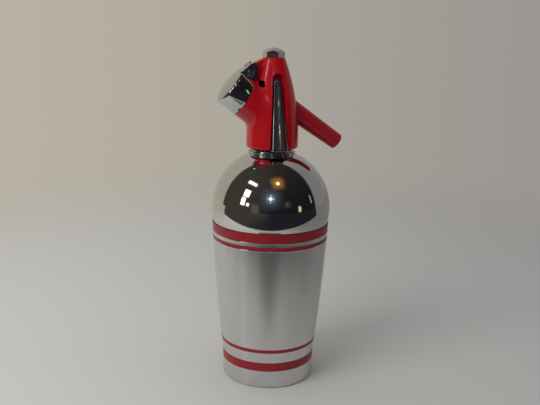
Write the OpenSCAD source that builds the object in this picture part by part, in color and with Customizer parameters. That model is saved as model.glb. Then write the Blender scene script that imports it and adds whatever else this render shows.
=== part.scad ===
// Soda siphon: a pressure bottle with a screwed head, a squeeze lever, a spout and a
// hinged cover over the gas charger. Sizes are in millimetres.
// The origin is the centre of the base. +Z is up, +X is the spout, -X the charger cover
// and -Y the lever.

/* [Bottle] */
// Outer radius of the polished dome
dome_r = 60.5; // [56:0.5:66]
// Height of the dome's centre
dome_z = 180; // [160:1:210]
// Step from the dome's rim in to the body below it
dome_step = 0.9; // [0.4:0.1:1.5]
// Height of the body's shoulder, under the dome's rim
shoulder_z = 167.5; // [150:0.5:175]
// Outer radius of the body above its foot
foot_r = 47.3; // [42:0.1:52]
// Outward bow of the body's side between foot and shoulder
side_bow = 1.6; // [0:0.1:4]
// Height of the upright band above the foot
foot_band = 28; // [24:0.5:34]
// Radius of the foot's rounded edge
foot_round = 2.8; // [1:0.1:5]
// Thickness of the bottle's wall
bottle_wall = 2.4; // [1.8:0.1:4]
// Outer radius of the neck
neck_r = 20.9; // [19:0.1:22]
// Radius of the neck's bore
neck_bore_r = 17; // [16.5:0.1:18]
// Bare neck between the collar and the lip
neck_lip = 1.1; // [0.5:0.1:3]

/* [Stripes and collar] */
// Height of the lower edge of the wide stripe at the shoulder
shoulder_wide_z = 157.1; // [155:0.1:158]
// Width of the wide stripe at the shoulder
shoulder_wide_w = 9.2; // [5:0.1:9.6]
// Height of the lower edge of the narrow stripe at the shoulder
shoulder_narrow_z = 149.2; // [140:0.1:150]
// Height of the lower edge of the wide stripe near the foot
base_wide_z = 18.7; // [12:0.1:20]
// Width of the wide stripe near the foot
base_wide_w = 9.2; // [4:0.1:9.5]
// Height of the lower edge of the narrow stripe near the foot
base_narrow_z = 39; // [35:0.1:60]
// Width of the narrow stripes
narrow_w = 3.8; // [2:0.1:5]
// Depth of a stripe's groove in the bottle's side
stripe_depth = 0.6; // [0.4:0.1:0.9]
// Largest radius of the collar's two beads
collar_r = 24.1; // [23.4:0.1:26]
// Height of one bead of the collar
bead_h = 1.7; // [1:0.1:2.5]
// Groove between the beads
bead_gap = 0.6; // [0.3:0.1:1.5]

/* [Head casing] */
// Radius of the casing at its foot
head_r = 26.3; // [25.6:0.1:28]
// Height of the casing
head_h = 89.1; // [87:0.1:92]
// Height of the straight foot of the casing
head_foot = 7.8; // [5:0.1:12]
// Radius of the curve that draws the casing in towards its top
head_curve = 225; // [205:1:260]
// Wall of the casing
head_wall = 2.3; // [1.8:0.1:2.6]
// Rounding of the casing's lower edge
head_round = 1.8; // [0.5:0.1:2.2]
// Outer radius of the branch that holds the charger
branch_r = 20; // [19:0.1:21]
// Wall of the branch
branch_wall = 2.3; // [1.8:0.1:3]
// Side of the vent window, along X
window_w = 5.3; // [3:0.1:6]
// Height of the vent window
window_h = 6.6; // [4:0.1:8]

/* [Charger and cover] */
// Slope of the charger, above level
charger_slope = 37.5; // [34:0.5:40]
// Radius of a standard 8 g charger
charger_r = 9; // [9:0.1:9.3]
// Length of a standard 8 g charger
charger_l = 65.5; // [64:0.1:66]
// Room round the charger in its sleeve
charger_play = 0.3; // [0.1:0.05:0.5]
// Wall of the charger sleeve
sleeve_wall = 1.7; // [1.2:0.1:2]
// Where the branch ends, along the charger from its nose
branch_end = 48.4; // [46:0.1:50]
// Lean of the branch's end face from square to the charger
face_lean = 6; // [3:0.5:8]
// Radius of the domed end of the cover
cover_dome = 65.3; // [58:0.1:75]
// Wall of the cover
cover_wall = 2.4; // [1.8:0.1:3]
// Rounding of the cover's outer edge
cover_round = 3; // [1:0.1:5]
// Half the width of the hinge, over both ears
hinge_half = 9.2; // [8.5:0.1:11]
// Half the width of the casing's hinge tongue
tongue_half = 5.8; // [5:0.1:6.5]
// Radius of the hinge's eye
hinge_eye = 5; // [4.2:0.1:5.4]
// Radius of the hinge pin
hinge_pin_r = 1.6; // [1.2:0.1:2]
// Distance of the hinge pin from the branch's end face
hinge_out = 8.7; // [8:0.1:10]
// Distance of the hinge pin from the charger's axis
hinge_up = 25.6; // [25.2:0.1:26.5]
// Gap between the closed cover and the casing
cover_gap = 0.3; // [0.2:0.05:0.6]

/* [Lever] */
// Lean of the lever from upright
lever_tilt = 11.9; // [11:0.1:13]
// How far the lever turns when it is squeezed, in degrees
lever_travel = 4; // [3:0.1:4.5]
// Distance of the lever pin behind the head's axis, towards the lever
lever_pin_out = 13.6; // [13:0.1:14.5]
// Height of the lever pin above the casing's foot
lever_pin_z = 63.8; // [61:0.1:66]
// Radius of the lever pin
lever_pin_r = 1.5; // [1.2:0.1:1.8]
// Distance of the lever's face from its pin
lever_face = 3.4; // [3:0.1:4]
// Length of the lever below its pin
lever_drop = 66.4; // [60:0.1:67]
// Width of the lever at its upper end
lever_top_w = 8.6; // [7.5:0.1:9.5]
// Width of the lever at its lower end
lever_low_w = 15.6; // [12:0.1:16.5]
// Thickness of the lever's sheet
lever_sheet = 1.3; // [0.9:0.1:1.5]
// Rounding of the lever's lower corners
lever_corner = 2.2; // [1:0.1:4]
// Radius of the lever's stop pin
stop_pin_r = 1; // [0.7:0.1:1.3]
// Distance of the stop pin below the lever pin
stop_pin_drop = 24.8; // [15:0.1:35]
// Wall of the lever's pocket in the casing
pocket_wall = 1.3; // [1:0.1:1.6]
// Clearance of the lever's edge from the pocket's floor at full squeeze
pocket_play = 1.4; // [1:0.1:1.8]

/* [Valve] */
// Height of the valve above the casing's foot
valve_z = 6.8; // [6.4:0.1:7.2]
// Radius of the valve stem
stem_r = 2; // [1.6:0.1:2.2]
// Running clearance of pins and stem, on the radius
running = 0.04; // [0.02:0.01:0.08]
// Radius of the valve chamber
chamber_r = 4.6; // [4.3:0.1:4.8]
// Radius of the flow hole in the valve seat
seat_r = 2.9; // [2.6:0.1:3.2]
// Radius of the wire of the valve spring
spring_wire = 0.4; // [0.3:0.05:0.5]
// Number of turns of the valve spring
spring_turns = 5; // [4:1:6]
// Radius of the plug that screws into the neck
plug_r = 16.7; // [16:0.1:16.8]
// Length of the plug
plug_l = 16; // [12:0.5:20]
// Thickness of the ring that seals the neck
neck_seal_h = 1.9; // [1:0.1:3]

/* [Spout] */
// Slope of the spout, below level
spout_slope = 34.3; // [32:0.1:36]
// Length of the spout outside the reference point at the casing
spout_l = 51.6; // [40:0.1:60]
// Outer radius of the spout at its root
spout_root_r = 9.8; // [9:0.1:10]
// Outer radius of the spout at its tip
spout_tip_r = 8.3; // [7.5:0.1:9]
// Rounding of the spout's tip
spout_round = 1.6; // [0.5:0.1:2]
// Radius of the spout's bore
spout_bore = 5; // [4.4:0.1:5.2]
// Radius of the nipple that carries the spout
nipple_r = 5.4; // [5.3:0.1:5.8]
// Length of the nipple
nipple_l = 10; // [6:0.5:14]
// Seam round the spout, on the radius
seam = 0.3; // [0.2:0.05:0.4]
// Radius of the raised ring of the casing round the spout
spout_boss_r = 11; // [10.8:0.1:12]

/* [Dip tube] */
// Outer radius of the dip tube
tube_r = 4; // [3:0.1:4.5]
// Wall of the dip tube
tube_wall = 1; // [0.6:0.1:1.4]
// Gap between the dip tube and the bottle's floor
tube_gap = 4; // [2:0.5:12]

/* [Cap] */
// Width of the cap nut across its flats
nut_flats = 19.4; // [17:0.1:20]
// Height of the cap nut's upright sides
nut_side = 6.7; // [5:0.1:9]
// Height of the cap nut's low dome
nut_dome = 3; // [1:0.1:4]
// Radius of the stud under the cap nut
stud_r = 3.5; // [3:0.1:4.5]
// Thickness of the washer under the cap nut
cap_washer_h = 0.8; // [0.5:0.1:1.5]

/* [Hidden] */
$fn = 64;

fit_gap = 0.05;      // between flat faces of pieces that part from each other
sock_gap = 0.02;     // round a piece that is pushed into its socket
part_gap = 0.3;      // between curved faces of neighbours that don't fit each other
eps = 0.01;
far = 200;           // longer than any cut needs

red = "#8f0d16";
dark_red = "#6c0a12";
stripe_red = "#701a20";
silver = "#b4b5b6";
chrome = "#d5d8dc";
brass = "#b49a5a";
rubber = "#222222";
plastic = "#e8e6df";

// Points along an arc about c, from angle a to angle b in n steps.
function arc(c, r, a, b, n) = [for (i = [0:n])
    let (t = a + (b - a) * i / n) c + r * [cos(t), sin(t)]];

// ---- Bottle -------------------------------------------------------------------------

foot_flare = 0.5;                 // how far the upright band widens over its height
band_r = foot_r + foot_flare * (1 - foot_round / foot_band);
collar_seat = 2.35;               // collar's top above the foot of the neck
shoulder_r = dome_r - dome_step;
dome_rim_z = shoulder_z + dome_step;
neck_foot_z = dome_z + sqrt(pow(dome_r, 2) - pow(neck_r, 2));
collar_top = neck_foot_z + collar_seat;
neck_top = collar_top + neck_lip;
side_h = shoulder_z - foot_band;

// Outer radius of the body's side at a height: upright at the foot, then a flat arc.
function side_r(z) = z < foot_band ?
    foot_r + foot_flare * max(0, z - foot_round) / foot_band :
    let (u = (z - foot_band) / side_h)
    band_r + (shoulder_r - band_r) * u + 4 * side_bow * u * (1 - u);

// Heights at which the side's profile has a point.
side_steps = concat([foot_round, foot_band / 2], [for (i = [0:12]) foot_band + side_h * i / 12]);

module side_profile(inset) {
    points = [for (z = side_steps) [side_r(z) - inset, z]];
    polygon(concat([[0, foot_round]], points, [[0, shoulder_z]]));
}

// A ring that follows the side between two heights, from a stripe's depth within it to a
// distance out of it.
module side_band(z, w, out) {
    rotate_extrude($fn = 120)
        polygon([[side_r(z) - stripe_depth, z], [side_r(z) + out, z],
            [side_r(z + w) + out, z + w], [side_r(z + w) - stripe_depth, z + w]]);
}

module grooves() {
    side_band(shoulder_wide_z, shoulder_wide_w, 1);
    side_band(shoulder_narrow_z, narrow_w, 1);
    side_band(base_narrow_z, narrow_w, 1);
    side_band(base_wide_z, base_wide_w, 1);
}

module half_plane(z0, z1) {
    translate([0, z0])
        square([far, z1 - z0]);
}

// The bottle's section: foot, side, dome and neck, drawn in by inset.
module bottle_section(inset) {
    side_profile(inset);
    // foot with its rounded edge
    flat_r = foot_r - foot_round;
    translate([0, inset])
        square([flat_r, foot_round]);
    intersection() {
        translate([flat_r, foot_round])
            circle(r = foot_round - min(inset, foot_round - 0.2));
        half_plane(0, foot_round);
    }
    // dome, with its rim just proud of the side
    intersection() {
        translate([0, dome_z])
            circle(r = dome_r - inset, $fn = 180);
        half_plane(dome_rim_z - inset, dome_z + dome_r);
    }
    polygon([[0, shoulder_z - 1], [side_r(shoulder_z) - inset, shoulder_z - 1],
        [side_r(shoulder_z) - inset, dome_rim_z + 1], [0, dome_rim_z + 1]]);
}

module bottle() {
    color(silver)
    difference() {
        rotate_extrude($fn = 120) {
            intersection() {
                bottle_section(0);
                half_plane(0, neck_top);
            }
            translate([0, dome_z])
                square([neck_r, neck_top - dome_z]);
        }
        rotate_extrude($fn = 120)
            difference() {
                intersection() {
                    bottle_section(bottle_wall);
                    half_plane(bottle_wall, dome_z + dome_r - bottle_wall - 1);
                }
                translate([-far, 0])
                    square([far, far * 2]);
            }
        translate([0, 0, dome_z])
            cylinder(r = neck_bore_r, h = far);
        grooves();
    }
}

module stripe(z, w) {
    color(stripe_red)
        side_band(z, w, 0);
}
module shoulder_stripe_wide() {
    stripe(shoulder_wide_z, shoulder_wide_w);
}
module shoulder_stripe_narrow() {
    stripe(shoulder_narrow_z, narrow_w);
}
module base_stripe_narrow() {
    stripe(base_narrow_z, narrow_w);
}
module base_stripe_wide() {
    stripe(base_wide_z, base_wide_w);
}

groove_depth = 1;                 // of the collar's groove between its beads

// One rounded bead of the collar, with its top at height z.
module bead(z) {
    translate([0, z - bead_h])
        square([collar_r - bead_h / 2, bead_h]);
    translate([collar_r - bead_h / 2, z - bead_h / 2])
        circle(r = bead_h / 2);
}

module neck_collar() {
    color(chrome)
    difference() {
        rotate_extrude($fn = 120) {
            bead(collar_top);
            bead(collar_top - bead_h - bead_gap);
            translate([0, collar_top - bead_h - bead_gap - eps])
                square([collar_r - groove_depth, bead_gap + 2 * eps]);
        }
        translate([0, 0, dome_z])
            sphere(r = dome_r, $fn = 180);
        translate([0, 0, dome_z])
            cylinder(r = neck_r, h = far);
    }
}

// ---- Head: its own frame stands on the neck's seal ---------------------------------

head_z = neck_top + neck_seal_h + fit_gap;

module in_head() {
    translate([0, 0, head_z])
        children();
}

module neck_seal() {
    color(rubber)
    in_head()
        translate([0, 0, -neck_seal_h])
            difference() {
                cylinder(r = neck_r - 0.2, h = neck_seal_h);
                translate([0, 0, -1])
                    cylinder(r = plug_r, h = neck_seal_h + 2);
            }
}

// Radius of the casing's outside at a height above its foot.
function head_at(z) = z < head_foot ? head_r :
    head_r - head_curve + sqrt(pow(head_curve, 2) - pow(z - head_foot, 2));

module cone_section(inset, top) {
    square([head_r - inset, head_foot]);
    intersection() {
        translate([0, head_foot - eps])
            square([head_r, top - head_foot + eps]);
        translate([head_r - head_curve, head_foot])
            circle(r = head_curve - inset, $fn = 720);
    }
}

module cone(inset, top) {
    rotate_extrude($fn = 120)
        intersection() {
            cone_section(inset, top);
            square([far, far]);
        }
}

// The charger's own frame: +Z runs from its nose to its tail, up and towards -X.
nose_x = 8.7;
nose_z = 21.7;
charger_bore = charger_r + charger_play;
sleeve_r = charger_bore + sleeve_wall;

module along_charger(t = 0) {
    translate([nose_x, 0, nose_z])
        rotate([0, charger_slope - 90, 0])
            translate([0, 0, t])
                children();
}

// The frame of the branch's end face: +Z is its outward normal, +X points up the face.
module on_face(out = 0) {
    along_charger(branch_end)
        rotate([0, -face_lean, 0])
            translate([0, 0, out])
                children();
}

// Everything on the head's side of the branch's end face, moved out by a distance.
module head_side(out) {
    on_face(out)
        translate([-far / 2, -far / 2, -far])
            cube(far);
}

// The hinge pin's place in the charger's frame, and the hinge's frame: +X towards the
// head, square to the end face, +Y up along the face, +Z along the pin.
hinge_t = branch_end + (hinge_out + hinge_up * sin(face_lean)) / cos(face_lean);
hinge_x = nose_x - hinge_t * cos(charger_slope) + hinge_up * sin(charger_slope);
hinge_z = nose_z + hinge_t * sin(charger_slope) + hinge_up * cos(charger_slope);

module at_hinge() {
    along_charger(hinge_t)
        translate([hinge_up, 0, 0])
            rotate([0, -face_lean, 0])
                rotate([90, 90, 0])
                    children();
}

module hinge_slab(half) {
    at_hinge()
        translate([0, 0, -half])
            linear_extrude(2 * half)
                children();
}

// The spout's own frame: +Z runs down and out along the spout.
spout_x = 27;
spout_z = 32.8;
spout_start = -7;

module along_spout(s = 0) {
    translate([spout_x, 0, spout_z])
        rotate([0, 90 + spout_slope, 0])
            translate([0, 0, s])
                children();
}

// The lever's frame, at its pin, turned by the lever's lean less a squeeze.
module at_lever(squeeze = 0) {
    translate([0, -lever_pin_out, lever_pin_z])
        rotate([squeeze - lever_tilt, 0, 0])
            children();
}

lever_back = 2.3;                 // lever's edge behind its pin
lever_room = 1;                   // between the lever's sides and its pocket
pocket_floor = lever_back + pocket_play;
pocket_top_half = lever_top_w / 2 + lever_room;
pocket_low_half = lever_low_w / 2 + lever_room;
pocket_shoulder = 7.7;            // shoulders of the pocket's gable above the lever pin
gable_h = 3;

// The pocket's outline seen from the front, grown by g.
module pocket_outline(g) {
    polygon([[-pocket_low_half - g, -far / 2], [-pocket_low_half - g, -lever_pin_z],
        [-pocket_top_half - g, pocket_shoulder], [0, pocket_shoulder + gable_h + g],
        [pocket_top_half + g, pocket_shoulder], [pocket_low_half + g, -lever_pin_z],
        [pocket_low_half + g, -far / 2]]);
}

// The pocket's space, from its floor outwards, grown by g on all sides.
module pocket(g) {
    intersection() {
        translate([0, 0, lever_pin_z])
            rotate([90, 0, 0])
                linear_extrude(far)
                    pocket_outline(g);
        at_lever(lever_travel)
            translate([-far / 2, pocket_floor + g - far, -far])
                cube([far, far, 2 * far]);
    }
}

tongue_root_x = 9.5;              // where the tongue meets the casing, from its axis
gusset_top = 0.6;                 // gusset's start below the casing's top
gusset_eye = 6;                   // its upper edge at the eye
gusset_low = 25;                  // and its lowest point

// Side view of the casing's hinge tongue, in the hinge's frame.
module tongue_outline(grow) {
    circle(r = hinge_eye + grow);
    translate([0, -hinge_eye - grow])
        square([hinge_out + 3, 2 * hinge_eye + grow]);
}

module tongue() {
    difference() {
        union() {
            hinge_slab(tongue_half)
                tongue_outline(0);
            // gusset that runs from the eye up to the casing's top
            intersection() {
                translate([0, tongue_half, 0])
                    rotate([90, 0, 0])
                        linear_extrude(2 * tongue_half)
                            polygon([[hinge_x + 1.2, head_h - gusset_eye],
                                [-tongue_root_x - 1.2, head_h - gusset_top],
                                [-tongue_root_x, head_h - gusset_low + 5],
                                [-tongue_root_x - 6, head_h - gusset_low]]);
                head_side(hinge_out);
            }
        }
        cone(head_wall, head_h);
    }
}

nut_seat = cap_washer_h;          // recess in the casing's top for the washer
cap_land = 3;                     // thickness of the casing's top
boss_out = 1.2;                   // spout's raised ring, proud of the casing's foot
boss_half = 14;                   // half its length inside the casing
face_wall = 2.4;                  // wall behind the branch's end face
window_x = 12.3;                  // vent window's near side, from the head's axis
window_z = 60.6;                  // and its lower edge
stem_hole = 0.6;                  // room round the valve stem in the casing

module head_cover() {
    color(red)
    in_head()
        difference() {
            union() {
                difference() {
                    union() {
                        cone(0, head_h);
                        intersection() {
                            along_charger()
                                cylinder(r = branch_r, h = branch_end + 10);
                            head_side(0);
                        }
                        intersection() {
                            along_spout(-boss_half)
                                cylinder(r = spout_boss_r, h = 2 * boss_half);
                            cylinder(r = head_r + boss_out, h = head_h);
                        }
                    }
                    difference() {
                        union() {
                            cone(head_wall, head_h - cap_land);
                            intersection() {
                                along_charger()
                                    cylinder(r = branch_r - branch_wall, h = branch_end + 10);
                                head_side(-face_wall);
                            }
                        }
                        intersection() {
                            pocket(pocket_wall);
                            cone(0, head_h);
                        }
                    }
                }
                tongue();
            }
            pocket(0);
            // rounded lower edge
            difference() {
                translate([0, 0, -1])
                    cylinder(r = head_r + 5, h = head_round + 1);
                rotate_extrude($fn = 120) {
                    translate([0, -1])
                        square([head_r - head_round, head_round + 1]);
                    translate([head_r - head_round, head_round])
                        circle(r = head_round);
                }
            }
            // holes for the sleeve, the spout, the stud, the washer and the hinge pin
            along_charger(branch_end - 3 * face_wall)
                cylinder(r = sleeve_r + sock_gap, h = far);
            along_spout(-head_r)
                cylinder(r = spout_root_r + seam, h = far);
            translate([0, 0, head_h - 2 * cap_land])
                cylinder(r = stud_r + part_gap, h = far);
            translate([0, 0, head_h - nut_seat])
                cylinder(r = cap_washer_r + part_gap / 3, h = far);
            at_hinge()
                translate([0, 0, -far / 2])
                    cylinder(r = hinge_pin_r, h = far);
            // holes for the lever pin and for the valve stem
            lever_pin_hole();
            translate([0, -far / 2, valve_z])
                rotate([-90, 0, 0])
                    cylinder(r = stem_r + stem_hole, h = far / 2);
            // vent window
            translate([-window_x - window_w, -far - 5, window_z])
                cube([window_w, far, window_h]);
        }
}

lever_pin_half = 9;               // half the lever pin's length

module lever_pin_hole() {
    translate([-lever_pin_half, -lever_pin_out, lever_pin_z])
        rotate([0, 90, 0])
            cylinder(r = lever_pin_r, h = 2 * lever_pin_half);
}

// ---- Valve body and its bores -------------------------------------------------------

casting_gap = 0.4;                // between the casting and the casing
base_h = 12.8;                    // height of the casting's round base
cup_wall = 1.4;                   // wall of the cup that holds the sleeve
cup_r = sleeve_r + cup_wall;
nose_r = 8;                       // block behind the cup, round the needle's seat
nose_l = 9.5;
plate_z = 53;                     // plate that carries the stud
plate_h = 4;
stud_foot_r = 6;
stud_short = 2.2;                 // how far the stud ends below the top of the nut's sides
stud_foot_top = head_h - cap_land - fit_gap;
base_seat = 0.3;                  // gap round the base's locating flange
base_in = 1.6;                    // base drawn in from the casing's wall
flange_z = 1;
flange_h = 4;
web_w = 18;                       // rear web between base and plate
web_t = 4.4;
flow_wall = 2.2;
flow_r = 2.4;                     // radius of the water's passages
gas_r = 0.9;                      // radius of the gas passage
gas_x = 13.2;                     // gas passage, from the head's axis
gas_top = 12.8;                   // and how far it goes above the casting's base
outlet_x = 14;
gland_r = 4.2;
gland_out = -15.2;                // outer end of the gland, along Y
chamber_out = -11;                // outer end of the outlet chamber
seat_y = -7.4;                    // shoulder that the valve seat rests on
outlet_r = 4;                     // radius of the outlet chamber
seat_h = 1.8;
plug_in = 9.5;                    // inner end of the valve plug
plug_face = 16;                   // face that the plug's head is drawn against
plug_washer_h = 1;
plug_washer_r = 6.4;
plug_head_r = 6;
plug_head_h = 3;
plug_room = 7.2;                  // round the plug's head
charger_neck_r = 4.6;             // of a standard charger
needle_in = 3;                    // how far the needle's point stands in the chamber
needle_tip = 1.6;                 // length of its point
sleeve_start = needle_in + 0.2;   // sleeve's inner end, along the charger
sleeve_socket = 10;               // depth of the cup round the sleeve
sleeve_sink = 0.6;                // sleeve's outer end, below the branch's end face
gasket_h = 2;
gasket_r = 4.6;
needle_base = 4;
needle_base_r = 3;
needle_r = 1.1;
needle_bore = 0.4;
spout_seal_h = 1.2;
spout_block_l = 9;                // block that carries the spout's nipple
spout_block_r = 7;
needle_bleed_r = 1.6;             // room behind the needle
nut_in = -plug_l;                 // plug's lower end, where the tube's nut sits
gas_nipple_r = 1.7;
gas_nipple_h = 5;
sleeve_end = 0.6;                 // end wall of the non-return sleeve
outlet_top_s = spout_start - 4;   // where the outlet passage meets the spout's
outlet_blind = 3;                 // and the blind end of the spout's passage behind it

// The valve's own frame: +Z runs along Y, away from the lever.
module along_valve(y = 0) {
    translate([0, y, valve_z])
        rotate([-90, 0, 0])
            children();
}

// A straight passage between two points.
module passage(a, b, r) {
    d = b - a;
    l = norm(d);
    translate(a)
        rotate([0, acos(d[2] / l), atan2(d[1], d[0])])
            cylinder(r = r, h = l);
}

outlet_y = (chamber_out + seat_y) / 2;
outlet_low = [outlet_x, outlet_y, valve_z];
outlet_high = [spout_x + outlet_top_s * cos(spout_slope), 0,
    spout_z - outlet_top_s * sin(spout_slope)];

module casting_lump() {
    // round base and its locating flange
    cylinder(r = head_r - head_wall - base_in, h = base_h);
    translate([0, 0, flange_z])
        cylinder(r = head_r - head_wall - base_seat, h = flange_h);
    // cup for the sleeve, and the nose block behind it
    along_charger()
        cylinder(r = cup_r, h = sleeve_socket);
    along_charger(-nose_l)
        cylinder(r = nose_r, h = nose_l + 0.5);
    // rear web up to the plate
    translate([-web_w / 2, cup_r + 0.2, base_h - 2])
        cube([web_w, web_t, plate_z - base_h + plate_h]);
    translate([0, 0, plate_z])
        cylinder(r = head_r, h = plate_h);
    // outlet passage's wall and the spout's seat
    passage(outlet_low - [0, 0, valve_z - 2], outlet_high, flow_r + flow_wall);
    along_spout(spout_start - spout_seal_h - spout_block_l)
        cylinder(r = spout_block_r, h = spout_block_l);
}

module valve_body() {
    color(brass)
    in_head()
        difference() {
            union() {
                intersection() {
                    casting_lump();
                    cone(head_wall + casting_gap - 0.1, head_h);
                }
                translate([0, 0, -plug_l])
                    cylinder(r = plug_r, h = plug_l + 1);
                translate([gas_x, 0, nut_in - gas_nipple_h])
                    cylinder(r = gas_nipple_r, h = gas_nipple_h + 1);
                translate([0, 0, plate_z + 1])
                    cylinder(r = stud_foot_r, h = stud_foot_top - plate_z - 1);
                translate([0, 0, plate_z + 1])
                    cylinder(r = stud_r, h = head_h + nut_side - stud_short - plate_z - 1);
                along_spout(spout_start - spout_seal_h - 1)
                    cylinder(r = nipple_r, h = nipple_l + 1);
            }
            pocket(pocket_wall + part_gap);
            // charger neck's chamber, the sleeve's socket, the gasket's and needle's seats
            along_charger(-0.5)
                cylinder(r = charger_neck_r + 0.8, h = 5);
            along_charger(sleeve_start)
                cylinder(r = sleeve_r + sock_gap, h = far);
            along_charger(-gasket_h)
                cylinder(r = gasket_r + sock_gap, h = gasket_h);
            along_charger(-gasket_h - needle_base)
                cylinder(r = needle_base_r + sock_gap, h = needle_base + 1);
            along_charger(-gasket_h - needle_base - 2)
                cylinder(r = needle_bleed_r, h = 3);
            translate([gas_x, 0, nut_in - gas_nipple_h - 1])
                cylinder(r = gas_r, h = gas_nipple_h - nut_in + gas_top + 5);
            // valve's bores, from both ends
            along_valve(-far)
                cylinder(r = gland_r + sock_gap, h = far + chamber_out);
            along_valve(chamber_out - 1)
                cylinder(r = outlet_r, h = seat_y - chamber_out + 2);
            along_valve(seat_y)
                cylinder(r = chamber_r, h = far);
            along_valve(plug_face)
                cylinder(r = plug_room, h = far);
            // water's way in from the dip tube
            translate([0, 0, -plug_l - 1])
                cylinder(r = tube_r + sock_gap, h = plug_l + tube_top + 1);
            translate([0, 0, -plug_l])
                cylinder(r = tube_r - tube_wall, h = plug_l + valve_z);
            // water's way out to the spout
            passage([0, outlet_y, valve_z], outlet_low + [1, 0, 0], flow_r - 0.2);
            passage(outlet_low, outlet_high, flow_r);
            along_spout(outlet_top_s - outlet_blind)
                cylinder(r = flow_r + 0.5, h = 30);
            // room for the spout and its seal
            difference() {
                along_spout(spout_start - spout_seal_h)
                    cylinder(r = spout_root_r + 0.4, h = 40);
                along_spout(spout_start - spout_seal_h - 1)
                    cylinder(r = nipple_r, h = 60);
            }
        }
}

module charger_sleeve() {
    color(brass)
    in_head()
        along_charger(sleeve_start + fit_gap)
            difference() {
                cylinder(r = sleeve_r, h = sleeve_length);
                translate([0, 0, -1])
                    cylinder(r = charger_bore, h = far);
            }
}

// The sleeve ends just inside the leaning end face, at its nearest edge.
sleeve_length = branch_end - sleeve_start - sleeve_r * tan(face_lean) - sleeve_sink;

module pin_gasket() {
    color(rubber)
    in_head()
        along_charger(-gasket_h)
            difference() {
                cylinder(r = gasket_r, h = gasket_h);
                translate([0, 0, -1])
                    cylinder(r = needle_r + 0.4, h = 5);
            }
}

module piercing_pin() {
    color(chrome)
    in_head()
        along_charger(-gasket_h - needle_base)
            difference() {
                union() {
                    cylinder(r = needle_base_r, h = needle_base);
                    cylinder(r = needle_r, h = needle_base + gasket_h + needle_in - needle_tip);
                    translate([0, 0, needle_base + gasket_h + needle_in - needle_tip])
                        cylinder(r1 = needle_r, r2 = needle_bore + 0.2, h = needle_tip);
                }
                translate([0, 0, -1])
                    cylinder(r = needle_bore, h = far);
            }
}

module non_return_sleeve() {
    color(rubber)
    in_head()
        translate([gas_x, 0, nut_in - gas_nipple_h - sleeve_end])
            difference() {
                cylinder(r = gas_nipple_r + 0.9, h = gas_nipple_h);
                translate([0, 0, sleeve_end])
                    cylinder(r = gas_nipple_r, h = gas_nipple_h);
                translate([0, 0, -1])
                    cylinder(r = gas_r, h = 3);
            }
}

module valve_seat() {
    color(chrome)
    in_head()
        along_valve(seat_y)
            difference() {
                cylinder(r = chamber_r - sock_gap, h = seat_h);
                translate([0, 0, -1])
                    cylinder(r = seat_r, h = seat_h + 2);
            }
}

module stem_sleeve(y0, y1, r) {
    along_valve(y0)
        difference() {
            cylinder(r = r, h = y1 - y0);
            translate([0, 0, -1])
                cylinder(r = stem_r + running, h = far);
        }
}

gland_seal_h = 1.4;

module valve_gland() {
    color(brass)
    in_head()
        stem_sleeve(gland_out, chamber_out - gland_seal_h, gland_r);
}

module gland_ring() {
    color(rubber)
    in_head()
        stem_sleeve(chamber_out - gland_seal_h, chamber_out, gland_r);
}

module valve_plug() {
    color(brass)
    in_head()
        difference() {
            union() {
                along_valve(plug_in)
                    cylinder(r = chamber_r - sock_gap, h = plug_face - plug_in + 1);
                along_valve(plug_face + plug_washer_h)
                    cylinder(r = plug_head_r, h = plug_head_h, $fn = 6);
            }
            // seat for the spring's end
            along_valve(plug_in - 1)
                cylinder(r = spring_r + spring_wire + 0.3, h = 2);
        }
}

module plug_washer() {
    color(rubber)
    in_head()
        along_valve(plug_face)
            difference() {
                cylinder(r = plug_washer_r, h = plug_washer_h);
                translate([0, 0, -1])
                    cylinder(r = chamber_r - sock_gap, h = 5);
            }
}

stem_washer_y = seat_y + seat_h + 0.1;
stem_washer_h = 2;
stem_flange_h = 2.5;
stem_flange_r = 3.6;
stem_guide_r = 1.6;
stem_guide_h = 4;
spring_r = 2.6;
spring_y0 = stem_washer_y + stem_washer_h + stem_flange_h + spring_wire + 0.05;
spring_y1 = plug_in + 1 - spring_wire - 0.05;
spring_sides = 6;
spring_rings = 12;

// A point on the spring's centre line, for a part f of its whole length.
function coil(f) = [spring_r * cos(360 * spring_turns * f), spring_r * sin(360 * spring_turns * f),
    spring_y0 + (spring_y1 - spring_y0) * f];

// A point of the wire's surface: outwards from the coil's axis, or along it.
function wire_point(f, a) = coil(f) + spring_wire * (
    cos(a) * [cos(360 * spring_turns * f), sin(360 * spring_turns * f), 0] + sin(a) * [0, 0, 1]);

module valve_spring() {
    n = spring_turns * spring_rings;
    k = spring_sides;
    points = [for (i = [0:n]) for (j = [0:k - 1]) wire_point(i / n, 360 * j / k)];
    walls = [for (i = [0:n - 1]) for (j = [0:k - 1]) for (h = [0, 1])
        h == 0 ? [i * k + j, (i + 1) * k + j, i * k + (j + 1) % k] :
            [(i + 1) * k + j, (i + 1) * k + (j + 1) % k, i * k + (j + 1) % k]];
    start = [[for (j = [0:k - 1]) j]];
    end = [[for (j = [k - 1:-1:0]) n * k + j]];
    color(chrome)
    in_head()
        along_valve(0)
            polyhedron(points = points, faces = concat(walls, start, end), convexity = 8);
}

lever_arm = lever_pin_z - valve_z;
web_in = lever_face - lever_sheet;

// Where the lever's inner face crosses the valve's axis, and the centre of the stem's
// round end, a gap short of it.
push_y = -lever_pin_out - web_in / cos(lever_tilt) - lever_arm * tan(lever_tilt);
stem_ball_y = push_y + (stem_r + 0.26) / cos(lever_tilt);

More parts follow.
